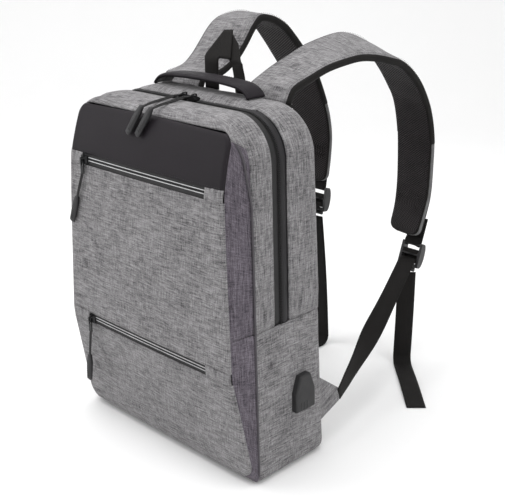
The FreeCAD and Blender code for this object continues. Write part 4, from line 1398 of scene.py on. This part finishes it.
def pad_body(name, rows, thick, cols, mats, seed, crown=1.4, creases=0.5):
    """Closed padded strip: outer face, inner face and its sides."""
    outer = face_grid(rows, thick, 0.0, crown, cols, seed, creases)
    inner = face_grid(rows, thick, 1.0, crown * 0.6, cols, seed + 1,
                      creases * 0.6)
    side_steps = 4
    verts, uvs = [], []
    run = run_lengths(rows)

    def rounded(a, b, way):
        return [a.lerp(b, t) + way * (math.sin(math.pi * t) * 1.6)
                for t in np.linspace(0, 1, side_steps + 1)[1:-1]]

    for i in range(len(rows)):
        across = rows[i][1]
        points = [Vector(p) for p in outer[i]]
        loop = list(points)
        bottom = [Vector(p) for p in inner[i]]
        loop += rounded(points[-1], bottom[-1], across)
        loop += bottom[::-1]
        loop += rounded(bottom[0], points[0], -across)
        around = 0.0
        for m, p in enumerate(loop):
            if m:
                around += (p - loop[m - 1]).length
            verts.append(tuple(p))
            uvs.append((around, run[i]))
    size = len(loop)
    faces = skin(len(rows), size, flip=True)
    kinds = []
    for m in range(size):
        if m < cols - 1:
            kinds.append(0)
        elif cols + side_steps - 1 <= m < 2 * cols + side_steps - 2:
            kinds.append(1)
        else:
            kinds.append(2 if m < cols + side_steps else 3)
    kinds *= len(rows) - 1
    for index, flip in ((0, False), (len(rows) - 1, True)):
        outer_ids = [index * size + m for m in range(cols)]
        inner_ids = [index * size + cols + side_steps - 1 + m
                     for m in range(cols)][::-1]
        for m in range(cols - 1):
            quad = (outer_ids[m], outer_ids[m + 1], inner_ids[m + 1],
                    inner_ids[m])
            faces.append(quad[::-1] if flip else quad)
            kinds.append(2)
        right = [index * size + cols - 1 + m for m in range(side_steps + 1)]
        faces.append(tuple(right) if not flip else tuple(right[::-1]))
        kinds.append(2)
        left = [index * size + (2 * cols + side_steps - 2 + m) % size
                for m in range(side_steps + 1)]
        faces.append(tuple(left) if not flip else tuple(left[::-1]))
        kinds.append(3)
    obj = finish_mesh(name, verts, faces, mats, kinds, uvs)
    recalc(obj)
    group = obj.vertex_groups.new(name="edge")
    ids = []
    for i in range(len(rows)):
        for m in range(size):
            on_face = m % (cols + side_steps - 1)
            if on_face == 0 or on_face >= cols - 1 \
                    or i in (0, len(rows) - 1):
                ids.append(i * size + m)
    group.add(ids, 1.0, "REPLACE")
    return obj


def recalc(obj):
    """Turn every face of a closed mesh outward."""
    bm = bmesh.new()
    bm.from_mesh(obj.data)
    bmesh.ops.recalc_face_normals(bm, faces=bm.faces)
    bm.to_mesh(obj.data)
    bm.free()


def ribbon(name, frames, thick, mat):
    """Flat webbing along frames of (middle, across, normal, half width)."""
    cols = 9
    verts, uvs = [], []
    run = 0.0
    for i, (mid, across, normal, half) in enumerate(frames):
        if i:
            run += (mid - frames[i - 1][0]).length
        ring = []
        for face in (1, -1):
            for u in np.linspace(-face, face, cols):
                edge = 1 - 0.45 * abs(u) ** 8
                ring.append((mid + across * half * u
                             + normal * face * thick / 2 * edge,
                             half * (u + 1)))
        for p, across_run in ring:
            verts.append(tuple(p))
            uvs.append((run, across_run))
    size = cols * 2
    faces = skin(len(frames), size, flip=True)
    faces += [face[::-1] for face in caps(len(frames), size)]
    obj = finish_mesh(name, verts, faces, [mat], None, uvs)
    recalc(obj)
    return obj


def path_frames(points, across, half, count=40):
    """Frames of a ribbon along a smooth line with a fixed across way."""
    line = smooth_line(points, count)
    frames = []
    side = Vector(across).normalized()
    for i, p in enumerate(line):
        d = Vector(line[min(i + 1, count - 1)] - line[max(i - 1, 0)])
        d.normalize()
        a = (side - d * side.dot(d)).normalized()
        frames.append((Vector(p), a, d.cross(a).normalized(), half))
    return frames


def build_strap(side):
    """One shoulder strap with its bindings, seams and end webbing."""
    s = sizes()
    thick = s.strap_thick / MM
    rows = strap_parts(side)
    seed = 20.0 if side == "right" else 30.0
    slim = [[mid - out * 0.9, across, out, along, half - 1.6]
            for mid, across, out, along, half in rows]
    pad = pad_body("strap_pad_%s_cloth" % side, slim, thick - 1.8, 17,
                   ["heather cloth", "air mesh", "webbing", "webbing"],
                   seed, crown=0.9, creases=0.7)
    puffed(pad, 2.2)
    pucker(pad, slim, 40, 20)
    pad.vertex_groups.clear()
    body = "strap_" + side
    # bound edges: dark near the top, pale further down
    run = run_lengths(rows)
    total = run[-1]
    split = 0.74
    bound_edges = []
    for name, edge in (("outer", -1), ("inner", 1)):
        for tag, low, high, mat, part in (
                ("top", 0, split, "webbing", 0.4),
                ("low", split, 1.0, "binding tape", 0.2)):
            span = thick * part
            grid = []
            for (mid, across, out, _, half), r in zip(rows, run):
                if not low * total - 4 <= r <= high * total + 0.1:
                    continue
                p = mid + across * half * edge * 0.995 - out * (thick * 0.5)
                way = across * edge
                grid.append([tuple(p + out * span * a
                                   + way * (1.3 - 1.9 * abs(a) ** 3))
                             for a in np.linspace(-1, 1, 9)])
            bound_edges.append(thick_sheet(
                "bind_%s_%s" % (name, tag), grid, 0.8, [mat],
                away=tuple(rows[len(rows) // 2][0])))
    bind = join("strap_binding_" + side, bound_edges)
    # stitched rows beside the edges
    stitches = []
    for edge in (-1, 1):
        points, ways = [], []
        for (mid, across, out, along, half), r in zip(rows, run):
            if 8 < r < total - 6:
                points.append(tuple(mid + across * (half - 3.6) * edge
                                    + out * 0.25))
                ways.append(tuple(out))
        stitches.append(row("stitch_line", points, ways, "thread black",
                            s.stitch_pitch / MM, 2.3, 0.55, 0.45, 0.15))
    thread = join("strap_stitches_" + side, stitches)
    for piece in (pad, bind, thread):
        hold_strap(piece)
    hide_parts("strap_pad_" + side)
    # doubled webbing that leaves the strap end, box stitched on it
    mid, across, out, along, half = rows[-1]
    mid = mid + Vector((12, 0, 0))
    points = [mid - along * 26 + out * 2.2, mid - along * 8 + out * 2.4,
              mid + out * 2.3, mid + along * 9 + out * 2.2,
              mid + along * 12.4 + out * 0.6]
    strip = ribbon("end_strip", path_frames(points, (1, 0, 0), 12.3, 24),
                   1.6, "webbing")
    points = [mid + along * 12.4 + out * 0.6, mid + along * 9 - out * 0.9,
              mid + along * 1 + out * 0.4]
    under = ribbon("end_under", path_frames(points, (1, 0, 0), 12.3, 10),
                   1.3, "webbing")
    loops = join("strap_end_web_" + side, [strip, under])
    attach(loops, body)
    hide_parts("strap_end_loop_" + side)
    return rows


def hold_strap(piece):
    """Strap cloth, whose root is sewn to the top rear seam: its transform is
    baked into its mesh.
    """
    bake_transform(piece)


def pucker(pad, rows, size, first):
    """Two sewn folds across the inner face near the lower end."""
    run = run_lengths(rows)
    data = pad.data.vertices
    for back, depth in ((52, 3.4), (42, 3.0)):
        near = min(range(len(run)), key=lambda i: abs(run[-1] - back - run[i]))
        for i, part in ((near - 1, -0.5), (near, 1.0), (near + 1, -0.5)):
            for m in range(first + 2, first + 13):
                data[i * size + m].co += rows[i][2] * depth * part * MM


def build_lock(side, rows):
    """Ladder buckle with round cheeks and bars; the webbing through it is
    built in build_webs.
    """
    thick = sizes().strap_thick / MM
    mid, _, out, along, _ = rows[-1]
    tip = mid - out * (thick / 2)
    x_axis = Vector((1, 0, 0))
    top = tip + along * 9.0 + x_axis * 12.0 + out * 7.05
    down = (along - x_axis * along.dot(x_axis)).normalized()
    back = down.cross(x_axis).normalized()
    if back.dot(out) < 0:
        back = -back
    wide, rail = 33.0, 4.0

    def at(x, y, z):
        return top + x_axis * x + back * y + down * z

    pieces = []
    for edge in (-1, 1):
        verts, profile = [], []
        for k in range(19):
            a = math.pi * k / 18
            profile.append((2.6 + 7.2 * math.sin(a) ** 0.8,
                            17.0 - 17.0 * math.cos(a)))
        ring = [(-2.5, z) for _, z in profile][::-1]
        outline = profile + [(y, z) for y, z in ring]
        for x, grow in ((0.0, 0.88), (0.5, 1.0), (rail - 0.5, 1.0),
                        (rail, 0.88)):
            for y, z in outline:
                yy = y if y < 0 else y * grow
                zz = 17 + (z - 17) * (0.975 if grow < 1 else 1.0)
                verts.append(tuple(at(edge * (wide / 2 - x), yy, zz)))
        size = len(outline)
        ends = [face[::-1] for face in caps(4, size)]
        cheek = finish_mesh("cheek", verts, skin(4, size) + ends,
                            ["buckle plastic"])
        recalc(cheek)
        pieces.append(cheek)
    bars = ((0.4, 4.6, 2.0), (13.4, 18.0, 1.2), (29.2, 34.0, 2.4),
            (34.0, 40.0, 4.2))
    for z0, z1, lift in bars:
        inner = wide / 2 - rail + 0.4
        if z0 >= 34.0:
            inner = wide * 0.3
        verts = []
        cols = 14
        for x in (-inner, inner):
            for m in range(cols):
                a = 2 * math.pi * m / cols
                y = 2.3 * math.sin(a) + (lift - 2.0)
                z = (z0 + z1) / 2 + (z1 - z0) / 2 * math.cos(a)
                verts.append(tuple(at(x, y, z)))
        bar = finish_mesh("bar", verts, skin(2, cols) + caps(2, cols),
                          ["buckle plastic"])
        recalc(bar)
        pieces.append(bar)
    lock = join("ladder_buckle_" + side, pieces)
    for poly in lock.data.polygons:
        poly.use_smooth = poly.area < 3e-5
    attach(lock, "lock_" + side)
    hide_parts("ladder_lock_" + side)
    return at


def build_webs(side, at):
    """Lower webbing to the side tab, and the hanging tail."""
    s = sizes()
    sign = 1 if side == "right" else -1
    wide = s.webbing / MM
    half = HALF_BASE - (HALF_BASE - HALF_TOP) * 92 / TALL - 5
    start = Vector((sign * half, 58.5 + 31, 56.0))
    end = at(0, -5.0, 24.0)
    middle = start.lerp(end, 0.5) + Vector((0, 1.5, -3.0))
    line = smooth_line([start, middle, end], 40)
    frames = []
    for i, p in enumerate(line):
        t = i / 39
        d = Vector(line[min(i + 1, 39)] - line[max(i - 1, 0)]).normalized()
        turn = min(1.0, t / 0.8)
        turn = turn * turn * (3 - 2 * turn)
        a = Vector((0, 0, 1)).lerp(Vector((-sign, 0, 0)), turn)
        a = (a - d * a.dot(d)).normalized()
        frames.append((Vector(p), a, d.cross(a).normalized(),
                       wide / 2 if t > 0.1 else
                       wide / 2 * (0.75 + 2.5 * t)))
    web = ribbon("lower_web_%s_cloth" % side, frames, 1.5, "webbing")
    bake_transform(web)
    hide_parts("lower_web_" + side)
    # loop over the lower bars
    points = [at(0, -3.9, 22), at(0, -3.2, 26.5), at(0, 0.6, 28.2),
              at(0, 2.8, 25.2), at(0, 4.0, 21.0), at(0, 2.6, 11.6),
              at(0, -1.2, 10.4), at(0, -3.9, 15.0)]
    inner = ribbon("lock_web_" + side,
                   path_frames(points, (1, 0, 0), 12.2, 44), 1.3, "webbing")
    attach(inner, "lock_" + side)
    # free tail, down to the floor and along it
    top = Vector(TAIL_TOPS[side])
    turn = math.radians(44.0 if side == "right" else 0.0)
    foot = 134.0 if side == "right" else 74.0
    lean = Vector((0, 0, 0)) if side == "right" else Vector((13, 5, 0))
    lead = Vector((math.sin(turn), -math.cos(turn), 0))
    across = Vector((math.cos(turn), math.sin(turn), 0))
    drop = top.z - 0.4 - 0.8
    bend = 12.0
    points = []
    steps = 16
    for t in np.linspace(0, 1, steps):
        z = top.z - (drop - bend) * t
        bow = 2.2 * math.sin(math.pi * t)
        points.append(top + lead * bow * (-1 if side == "left" else 1)
                      + lean * t + Vector((0, 0, z - top.z)))
    foot_start = points[-1]
    for a in np.linspace(0, math.pi / 2, 6)[1:]:
        points.append(foot_start + lead * bend * (1 - math.cos(a))
                      - Vector((0, 0, bend * math.sin(a))))
    for t in np.linspace(0, 1, 8)[1:]:
        lift = 1.6 * math.sin(math.pi * t) ** 2
        points.append(foot_start + lead * (bend + (foot - bend) * t)
                      + Vector((0, 0, -bend + lift)))
    frames = path_frames(points, across, wide / 2, 70)
    strip = ribbon("tail_%s_web" % side, frames, 1.5, "webbing")
    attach(strip, "tail_" + side)
    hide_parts("tail_" + side)


TAIL_TOPS = {"right": (80.21, 308.02, 138.3), "left": (-60.42, 276.94, 196.3)}


# ----------------------------------------------------- small and top pieces

def build_pulls():
    """Braided cords and ribbed grips of the four pulls."""
    for tag in ("high", "low", "main_left", "main_right"):
        body = "pull_" + tag
        node = bpy.data.objects.get("pull_grip_" + tag)
        pts = np.empty(len(node.data.vertices) * 3)
        node.data.vertices.foreach_get("co", pts)
        pts = pts.reshape(-1, 3) * 1000
        centre = pts.mean(axis=0)
        _, _, axes = np.linalg.svd(pts - centre, full_matrices=False)
        long, wide, flat = [Vector(v) for v in axes]
        if long.z < 0:
            long = -long
        centre = Vector((pts.max(axis=0) + pts.min(axis=0)) / 2)
        if flat.y > 0:
            flat = -flat
        verts, uvs = [], []
        rings, sides = 22, 16
        for i in range(rings):
            t = i / (rings - 1)
            z = 18.6 - 37.2 * t
            end = min(1.0, math.sin(min(1.0, t / 0.08) * math.pi / 2) + 0.35,
                      math.sin(min(1.0, (1 - t) / 0.06) * math.pi / 2)
                      + 0.35)
            width = (2.6 + 1.7 * min(1.0, t / 0.3)) * end
            depth = (2.0 + 0.8 * math.sin(math.pi * min(1, t + 0.1))) * end
            for k in range(sides):
                a = 2 * math.pi * k / sides
                cx = math.copysign(abs(math.cos(a)) ** 0.75, math.cos(a))
                cy = math.copysign(abs(math.sin(a)) ** 0.75, math.sin(a))
                verts.append(tuple(centre + long * z + wide * width * cx
                                   + flat * depth * cy))
                uvs.append((z, a))
        faces = skin(rings, sides) + caps(rings, sides)
        grip = finish_mesh("grip_body", verts, faces, ["grip rubber"], None,
                           uvs)
        recalc(grip)
        line = [tuple(centre + long * z + flat * 2.7)
                for z in np.linspace(-12, 6, 12)]
        ribs = row("grip_ribs", line, [tuple(flat)] * 12, "grip rubber",
                   2.6, 1.1, 5.6, 0.9)
        grip = join("grip_" + tag, [grip, ribs])
        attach(grip, body)
        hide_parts("pull_grip_" + tag)
        # cord doubled through the tab
        top = centre + long * 18.0
        reach = pull_tab_end(tag)
        strands = []
        for sign in (-1, 1):
            side = wide * 0.95 * sign
            points = [top - long * 2 + side * 0.6, top.lerp(reach, 0.3)
                      + side, top.lerp(reach, 0.75) + side * 1.1,
                      reach + side * 0.9,
                      reach + (reach - top).normalized() * 1.6
                      + side * 0.1]
            strands.append(tube("strand", smooth_line(points, 24), 0.85,
                                "cord braid"))
        cord = join("cord_" + tag, strands)
        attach(cord, body)
        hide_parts("pull_cord_" + tag)


def pull_tab_end(tag):
    """Place where the cord passes through the slider's tab."""
    low, high = [Vector(v) * 1000 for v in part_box("pull_tab_" + tag)]
    if tag in ("high", "low"):
        return Vector(((low.x + high.x) / 2, (low.y + high.y) / 2,
                       low.z + 1.8))
    return Vector(((low.x + high.x) / 2, low.y + 1.8,
                   (low.z + high.z) / 2))


def build_handle():
    """Carry handle: smooth strip, its lining and the folded ends."""
    y_mid, half_wide = 11.5, 14.2
    profile = [(-78, 420.4), (-76.8, 422.4), (-73, 426.4), (-67, 430.0),
               (-56, 432.9), (-30, 434.6), (0, 435.3), (30, 434.8),
               (56, 433.2), (67, 430.4), (73, 426.6), (76.8, 422.4),
               (78, 420.4)]
    line = smooth_line(profile, 74)

    def way_out(i):
        d = Vector(line[min(i + 1, 73)] - line[max(i - 1, 0)]).normalized()
        n = Vector((-d.y, d.x))
        return -n if n.dot(Vector((line[i][0], 60))) < 0 else n

    grid = []
    for i, (x, z) in enumerate(line):
        n = way_out(i)
        cols = []
        for t in np.linspace(-1, 1, 17):
            crown = 0.9 * (1 - t * t)
            edge = 1.3 * max(0.0, abs(t) - 0.82) / 0.18
            dip = 0.45 * math.exp(-((abs(t) - 0.78) / 0.05) ** 2)
            lift = crown - edge - dip
            lift += 0.35 * rumple((x, t * 14, z), 22, 41.0)
            cols.append((x + n.x * lift, y_mid + half_wide * t,
                         z + n.y * lift))
        grid.append(cols)
    strip = thick_sheet("handle_strip", grid, 3.2,
                        ["coated cloth", "heather cloth"],
                        away=(0, 11.5, 380))
    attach(strip, "carry_handle")
    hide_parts("carry_handle")
    s = sizes()
    lines = []
    for t in (-0.78, 0.78):
        points, ways = [], []
        for i, (x, z) in enumerate(line):
            if not 2 < i < 71:
                continue
            n = way_out(i)
            points.append((x + n.x * 0.2, y_mid + half_wide * t,
                           z + n.y * 0.2))
            ways.append((n.x, 0, n.y))
        lines.append(row("handle_line", points, ways, "thread black",
                         s.stitch_pitch / MM, 2.3, 0.5, 0.4, 0.1))
    thread = join("handle_stitches", lines)
    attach(thread, "carry_handle")
    # soft mound of the main cloth that the ends are sewn to
    grid = []
    for x in np.linspace(-94, 94, 64):
        side = min(1.0, (94 - abs(x)) / 24)
        cols = []
        for t in np.linspace(0, 1, 20):
            y = -13.5 + 45.5 * t
            edge = min(1.0, t / 0.34, (1 - t) / 0.3)
            rise = math.sin(side * math.pi / 2) * math.sin(edge * math.pi / 2)
            top = body_top(x)
            lump = 7.0 * rise + 0.8 * rise * rumple((x, y, 0), 17, 44.0)
            cols.append((x, y, top + 0.2 + lump))
        grid.append(cols)
    mound = thick_sheet("handle_mound", grid, 0.9,
                        ["heather cloth", "lining cloth"],
                        away=(0, 11.5, 300), uv_turn=True)
    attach(mound, "pack")


def build_hang_loop():
    """Folded webbing loop at the top rear seam, like a small roof."""
    z0 = 413.4
    halves = (([(-35, z0), (-36, 453), (-20, 480), (-7, 481)],
               [(-13, z0), (-14, 449), (-12, 450.5), (6, 450.5)], 0.0),
              ([(33, z0), (23, 446), (7, 467), (-12, 480)],
               [(15, z0), (7, 444), (2, 450.0), (-13, 450.5)], 2.1))
    sheets = []
    for outer, inner, behind in halves:
        grid = []
        for k in range(3):
            for t in np.linspace(0, 1, 10, endpoint=k == 2):
                a = Vector(outer[k]).lerp(Vector(outer[k + 1]), t)
                b = Vector(inner[k]).lerp(Vector(inner[k + 1]), t)
                line = []
                for u in np.linspace(0, 1, 10):
                    x, z = a.lerp(b, u)
                    lean = 12.0 * max(0.0, z - 449) / 22
                    bow = 1.2 * math.sin(math.pi * u) if k == 0 else 0.0
                    line.append((x, 41.2 + behind * min(1.0, (z - z0) / 20)
                                 + lean - bow, z))
                grid.append(line)
        sheets.append(thick_sheet("loop_half", grid, 1.7, ["webbing"],
                                  away=(0, 90, 440), uv_turn=True))
    loop = join("hang_loop_web", sheets)
    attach(loop, "hang_loop")
    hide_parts("hang_loop")


def build_strap_yoke():
    """Sewn cover over the strap roots at the top rear seam."""
    grid = []
    for x in np.linspace(-108, 106, 46):
        fade = min(1.0, (107 - abs(x)) / 6)
        cols = []
        for t in np.linspace(0, 1, 9):
            y = 33.0 + 9.5 * t
            z = 412.9 + 0.8 * math.sin(math.pi * t) * max(0.0, fade) \
                + 0.3 * rumple((x, y, 0), 18, 51.0)
            z = min(z, body_top(x) + 1.6)
            cols.append((x, y, z))
        grid.append(cols)
    cover = thick_sheet("root_seam_tape", grid, 0.8, ["webbing"],
                        away=(0, 38, 380))
    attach(cover, "pack")


def body_top(x):
    half, _, _ = body_half()
    xs = [p.x for p in half[len(half) // 2:]]
    zs = [p.y for p in half[len(half) // 2:]]
    pairs = sorted(zip(xs, zs))
    return float(np.interp(abs(x), [a for a, _ in pairs],
                           [b for _, b in pairs]))


def build_side_tabs():
    """Triangular tabs of the main cloth that hold the lower webbing."""
    for side, sign in (("left", -1), ("right", 1)):
        x = sign * (HALF_BASE - (HALF_BASE - HALF_TOP) * 92 / TALL - 5)
        root = FRONT + back_depth(70)
        grid = []
        for t in np.linspace(0, 1, 22):
            y = root - 3 + (58.5 + 32 - root + 3) * t
            low = 33 + (48 - 33) * t
            high = 92 + (64 - 92) * t
            grid.append([(x, y, low + (high - low) * u)
                         for u in np.linspace(0, 1, 14)])
        front = thick_sheet("tab_face", grid, 3.4, ["heather cloth"],
                            away=(0, root, 70))
        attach(front, "pack")
        front.name = "side_tab_%s_cloth" % side
        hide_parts("side_tab_" + side)


def build_back():
    """Air mesh back pads and the padded sleeve inside."""
    for side, sign in (("left", -1), ("right", 1)):
        name = "back_pad_" + side
        low, high = [Vector(v) * 1000 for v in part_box(name)]
        rows = []
        cx = (low.x + high.x) / 2
        half = (high.x - low.x) / 2 - 1.5
        slope = (DEPTH_TOP - DEPTH_BASE) / TALL
        for z in np.linspace(low.z + 1.5, high.z - 1.5, 60):
            y = FRONT + back_depth(z) + 8.2
            end = min(z - low.z, high.z - z)
            narrow = 1.0
            if end < 16:
                narrow = 1 - 0.16 * (1 - math.sqrt(
                    max(0, 1 - (1 - end / 16) ** 2)))
            rows.append([Vector((cx, y, z)), Vector((1, 0, 0)),
                         Vector((0, 1, 0)), Vector((0, slope, 1))
                         .normalized(), half * narrow])
        pad = pad_body("back_pad_%s_mesh" % side, rows, 6.8, 21,
                       ["air mesh", "lining cloth", "webbing", "webbing"],
                       60.0 + sign, crown=0.8, creases=0.3)
        puffed(pad, 3.0)
        pad.vertex_groups.clear()
        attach(pad, "pack")
        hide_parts(name)
    low, high = [Vector(v) * 1000 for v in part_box("laptop_sleeve")]
    rows = []
    for z in np.linspace(low.z + 1, high.z - 1, 40):
        rows.append([Vector((0, high.y - 0.8, z)), Vector((1, 0, 0)),
                     Vector((0, 1, 0)), Vector((0, 0, 1)),
                     (high.x - low.x) / 2 - 1])
    sleeve = pad_body("laptop_sleeve_pad", rows, 4.2, 21,
                      ["lining cloth", "lining cloth", "webbing",
                       "webbing"], 70.0, crown=0.5, creases=0.3)
    puffed(sleeve, 0.8)
    sleeve.vertex_groups.clear()
    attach(sleeve, "pack")
    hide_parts("laptop_sleeve")


def build_port():
    """Ribs on the rubber hood over the charging port."""
    low, high = [Vector(v) * 1000 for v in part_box("usb_hood")]
    lean = (HALF_BASE - HALF_TOP) / TALL
    bars = []
    for y in (-8.0, -3.0, 2.0):
        points = [(HALF_BASE - z * lean + 10.1, (low.y + high.y) / 2 + y, z)
                  for z in np.linspace(low.z + 3, low.z + 11, 6)]
        bars.append(row("hood_bar", points, [(1, 0, lean)] * 6,
                        "hood rubber", 0.7, 1.6, 2.2, 1.0))
    ribs = join("hood_ribs", bars)
    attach(ribs, "pack")


CAD_FINISH = {"slider_": "black metal", "pull_tab_": "black metal",
              "usb_hood": "hood rubber", "usb_socket": "plated steel",
              "usb_tongue": "port plastic", "base_board": "board"}


def finish_cad():
    """Give the CAD solids that stay their own finish."""
    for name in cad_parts:
        for key, mat in CAD_FINISH.items():
            if name.startswith(key):
                obj = bpy.data.objects.get(name)
                if not obj.material_slots:
                    obj.data.materials.append(MATS[mat])
                for slot in obj.material_slots:
                    slot.material = MATS[mat]


# -------------------------------------------------------------------- seams

def build_seams():
    """Rows of stitches beside the pocket zips and the main zip band."""
    pitch = sizes().stitch_pitch / MM
    # above and below both pocket zips
    beyond = ZIP_MOUTH + 2.2
    for tag, z_line, body, mat in (
            ("132", LOW_ZIP - beyond, "pack", "thread grey"),
            ("348", HIGH_ZIP + beyond, "flap", "thread black"),
            ("mid_low", LOW_ZIP + beyond, "pack", "thread grey"),
            ("mid_high", HIGH_ZIP - beyond, "flap", "thread grey")):
        width = panel_half_width(z_line) - 4
        points = [(x, front_y(x, z_line, width) - 0.5, z_line)
                  for x in np.linspace(-width, width, 90)]
        line = row("panel_stitches_" + tag, points, [(0, -1, 0)] * 90, mat,
                   pitch, 2.3, 0.5, 0.45, 0.1)
        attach(line, body)
    # both sides of the main zip band
    run, normals = arch()
    for tag, v, body in (("front", BAND_FROM - 2.2, "flap"),
                         ("rear", BAND_TO + 2.2, "pack")):
        points = [(p.x + n.x * 0.4, FRONT + v, p.y + n.y * 0.4)
                  for p, n in zip(run, normals)]
        line = row("band_stitches_" + tag, points,
                   [(n.x, 0, n.y) for n in normals], "thread grey", pitch,
                   2.3, 0.5, 0.45, 0.1)
        if body == "flap":
            bend(line)
        else:
            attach(line, body)


# -------------------------------------------------------------------- stage

def build_stage():
    """Pale floor that sweeps up behind, soft lamps and the camera."""
    verts, faces = [], []
    profile = [(-4.0, 0.0), (1.6, 0.0)]
    for a in np.linspace(0, math.pi / 2, 14)[1:]:
        profile.append((1.6 + 1.2 * math.sin(a), 1.2 - 1.2 * math.cos(a)))
    profile.append((2.8, 5.0))
    turn = math.radians(44)
    for side in (-6.0, 6.0):
        for d, z in profile:
            x = -math.sin(turn) * d + math.cos(turn) * side
            y = math.cos(turn) * d + math.sin(turn) * side
            verts.append((x / MM, y / MM, z / MM))
    count = len(profile)
    for k in range(count - 1):
        faces.append((k, count + k, count + k + 1, k + 1))
    n, bsdf, where = start_material("floor paper", "Object")
    tint = use(n, "drift", {"Vector": where, "Size": 2.0, "Amount": 0.006,
                            "Color": rgba(colours().floor)})
    n.tree.links.new(tint.outputs["Color"], bsdf.inputs["Base Color"])
    bsdf.inputs["Roughness"].default_value = 0.9
    bsdf.inputs["Specular IOR Level"].default_value = 0.1
    floor = finish_mesh("floor_sweep", verts, faces, ["floor paper"])
    scene = bpy.context.scene
    world = bpy.data.worlds.new("studio")
    world.use_nodes = True
    back = world.node_tree.nodes["Background"]
    back.inputs[0].default_value = (1.0, 1.0, 1.0, 1.0)
    back.inputs[1].default_value = 0.78
    scene.world = world

    def lamp(name, place, aim, size, power):
        data = bpy.data.lights.new(name, "AREA")
        data.shape = "RECTANGLE"
        data.size, data.size_y = size
        data.energy = power
        obj = bpy.data.objects.new(name, data)
        scene.collection.objects.link(obj)
        obj.location = place
        way = Vector(aim) - Vector(place)
        obj.rotation_euler = way.to_track_quat("-Z", "Y").to_euler()

    lamp("top box", (-0.1, -0.2, 1.9), (0, 0, 0.2), (1.6, 1.6), 24)
    lamp("left box", (-1.5, -1.3, 1.2), (0, 0, 0.25), (1.2, 1.5), 12)
    lamp("right box", (1.7, 0.1, 1.1), (0.05, 0.1, 0.25), (1.0, 1.4), 5)

    cam = bpy.data.cameras.new("camera")
    cam.lens, cam.sensor_width = 67.35, 36.0
    obj = bpy.data.objects.new("camera", cam)
    scene.collection.objects.link(obj)
    obj.location = (0.7799, -0.7150, 0.6093)
    way = Vector((0.03935, 0.04405, 0.2283)) - obj.location
    obj.rotation_euler = way.to_track_quat("-Z", "Y").to_euler()
    scene.camera = obj
    scene.view_settings.view_transform = "Standard"


# ------------------------------------------------------------------ add-on

class BAG_OT_materials(bpy.types.Operator):
    """Make the cloth, webbing, plastic and metal finishes"""
    bl_idname = "bag.materials"
    bl_label = "Finishes"

    def execute(self, context):
        make_materials()
        finish_cad()
        return {"FINISHED"}


class BAG_OT_body(bpy.types.Operator):
    """Build the main compartment: lower walls, rear arch and base"""
    bl_idname = "bag.body"
    bl_label = "Main Compartment"

    def execute(self, context):
        build_lower_body()
        build_rear_body()
        return {"FINISHED"}


class BAG_OT_flap(bpy.types.Operator):
    """Build the front flap that the main zip opens"""
    bl_idname = "bag.flap"
    bl_label = "Front Flap"

    def execute(self, context):
        build_flap()
        return {"FINISHED"}


class BAG_OT_pockets(bpy.types.Operator):
    """Build the two front pockets, the yoke and the piping"""
    bl_idname = "bag.pockets"
    bl_label = "Front Pockets"

    def execute(self, context):
        build_pockets()
        build_piping()
        return {"FINISHED"}


class BAG_OT_zips(bpy.types.Operator):
    """Build the zip tapes, coils, pale lines and end tabs"""
    bl_idname = "bag.zips"
    bl_label = "Zips"

    def execute(self, context):
        build_main_zip()
        build_pocket_zips()
        return {"FINISHED"}


class BAG_OT_seams(bpy.types.Operator):
    """Sew the visible rows of stitches on the body and pockets"""
    bl_idname = "bag.seams"
    bl_label = "Stitches"

    def execute(self, context):
        build_seams()
        return {"FINISHED"}


class BAG_OT_pulls(bpy.types.Operator):
    """Build the braided cords and rubber grips of the pulls"""
    bl_idname = "bag.pulls"
    bl_label = "Zip Pulls"

    def execute(self, context):
        build_pulls()
        return {"FINISHED"}


class BAG_OT_top(bpy.types.Operator):
    """Build the carry handle and the hanging loop"""
    bl_idname = "bag.top"
    bl_label = "Handle and Loop"

    def execute(self, context):
        build_handle()
        build_hang_loop()
        build_strap_yoke()
        return {"FINISHED"}


class BAG_OT_straps(bpy.types.Operator):
    """Build both shoulder straps, their buckles and webbing"""
    bl_idname = "bag.straps"
    bl_label = "Shoulder Straps"

    def execute(self, context):
        for side in ("right", "left"):
            rows = build_strap(side)
            build_webs(side, build_lock(side, rows))
        return {"FINISHED"}


class BAG_OT_back(bpy.types.Operator):
    """Build the back pads, side tabs, sleeve and port hood ribs"""
    bl_idname = "bag.back"
    bl_label = "Back and Sides"

    def execute(self, context):
        build_side_tabs()
        build_back()
        build_port()
        return {"FINISHED"}


class BAG_OT_stage(bpy.types.Operator):
    """Build the floor, the lamps and the camera"""
    bl_idname = "bag.stage"
    bl_label = "Stage"

    def execute(self, context):
        build_stage()
        return {"FINISHED"}


STEPS = (BAG_OT_materials, BAG_OT_body, BAG_OT_flap, BAG_OT_pockets,
         BAG_OT_zips, BAG_OT_seams, BAG_OT_pulls, BAG_OT_top,
         BAG_OT_straps, BAG_OT_back, BAG_OT_stage)


class BAG_PT_panel(bpy.types.Panel):
    """Sizes, colours and building steps of the bag"""
    bl_idname = "BAG_PT_panel"
    bl_label = "Backpack"
    bl_space_type = "VIEW_3D"
    bl_region_type = "UI"
    bl_category = "Backpack"

    def draw(self, context):
        column = self.layout.column()
        for group in (context.scene.bag_sizes, context.scene.bag_colours):
            for name in group.__annotations__:
                column.prop(group, name)
        for step in STEPS:
            column.operator(step.bl_idname)


CLASSES = (BagSizes, BagColours) + STEPS + (BAG_PT_panel,)


def register():
    for cls in CLASSES:
        bpy.utils.register_class(cls)
    bpy.types.Scene.bag_sizes = PointerProperty(type=BagSizes)
    bpy.types.Scene.bag_colours = PointerProperty(type=BagColours)


def unregister():
    del bpy.types.Scene.bag_colours
    del bpy.types.Scene.bag_sizes
    for cls in reversed(CLASSES):
        bpy.utils.unregister_class(cls)


def main():
    register()
    for step in STEPS:
        getattr(bpy.ops.bag, step.bl_idname.split(".")[1])()


if __name__ == "__main__":
    main()
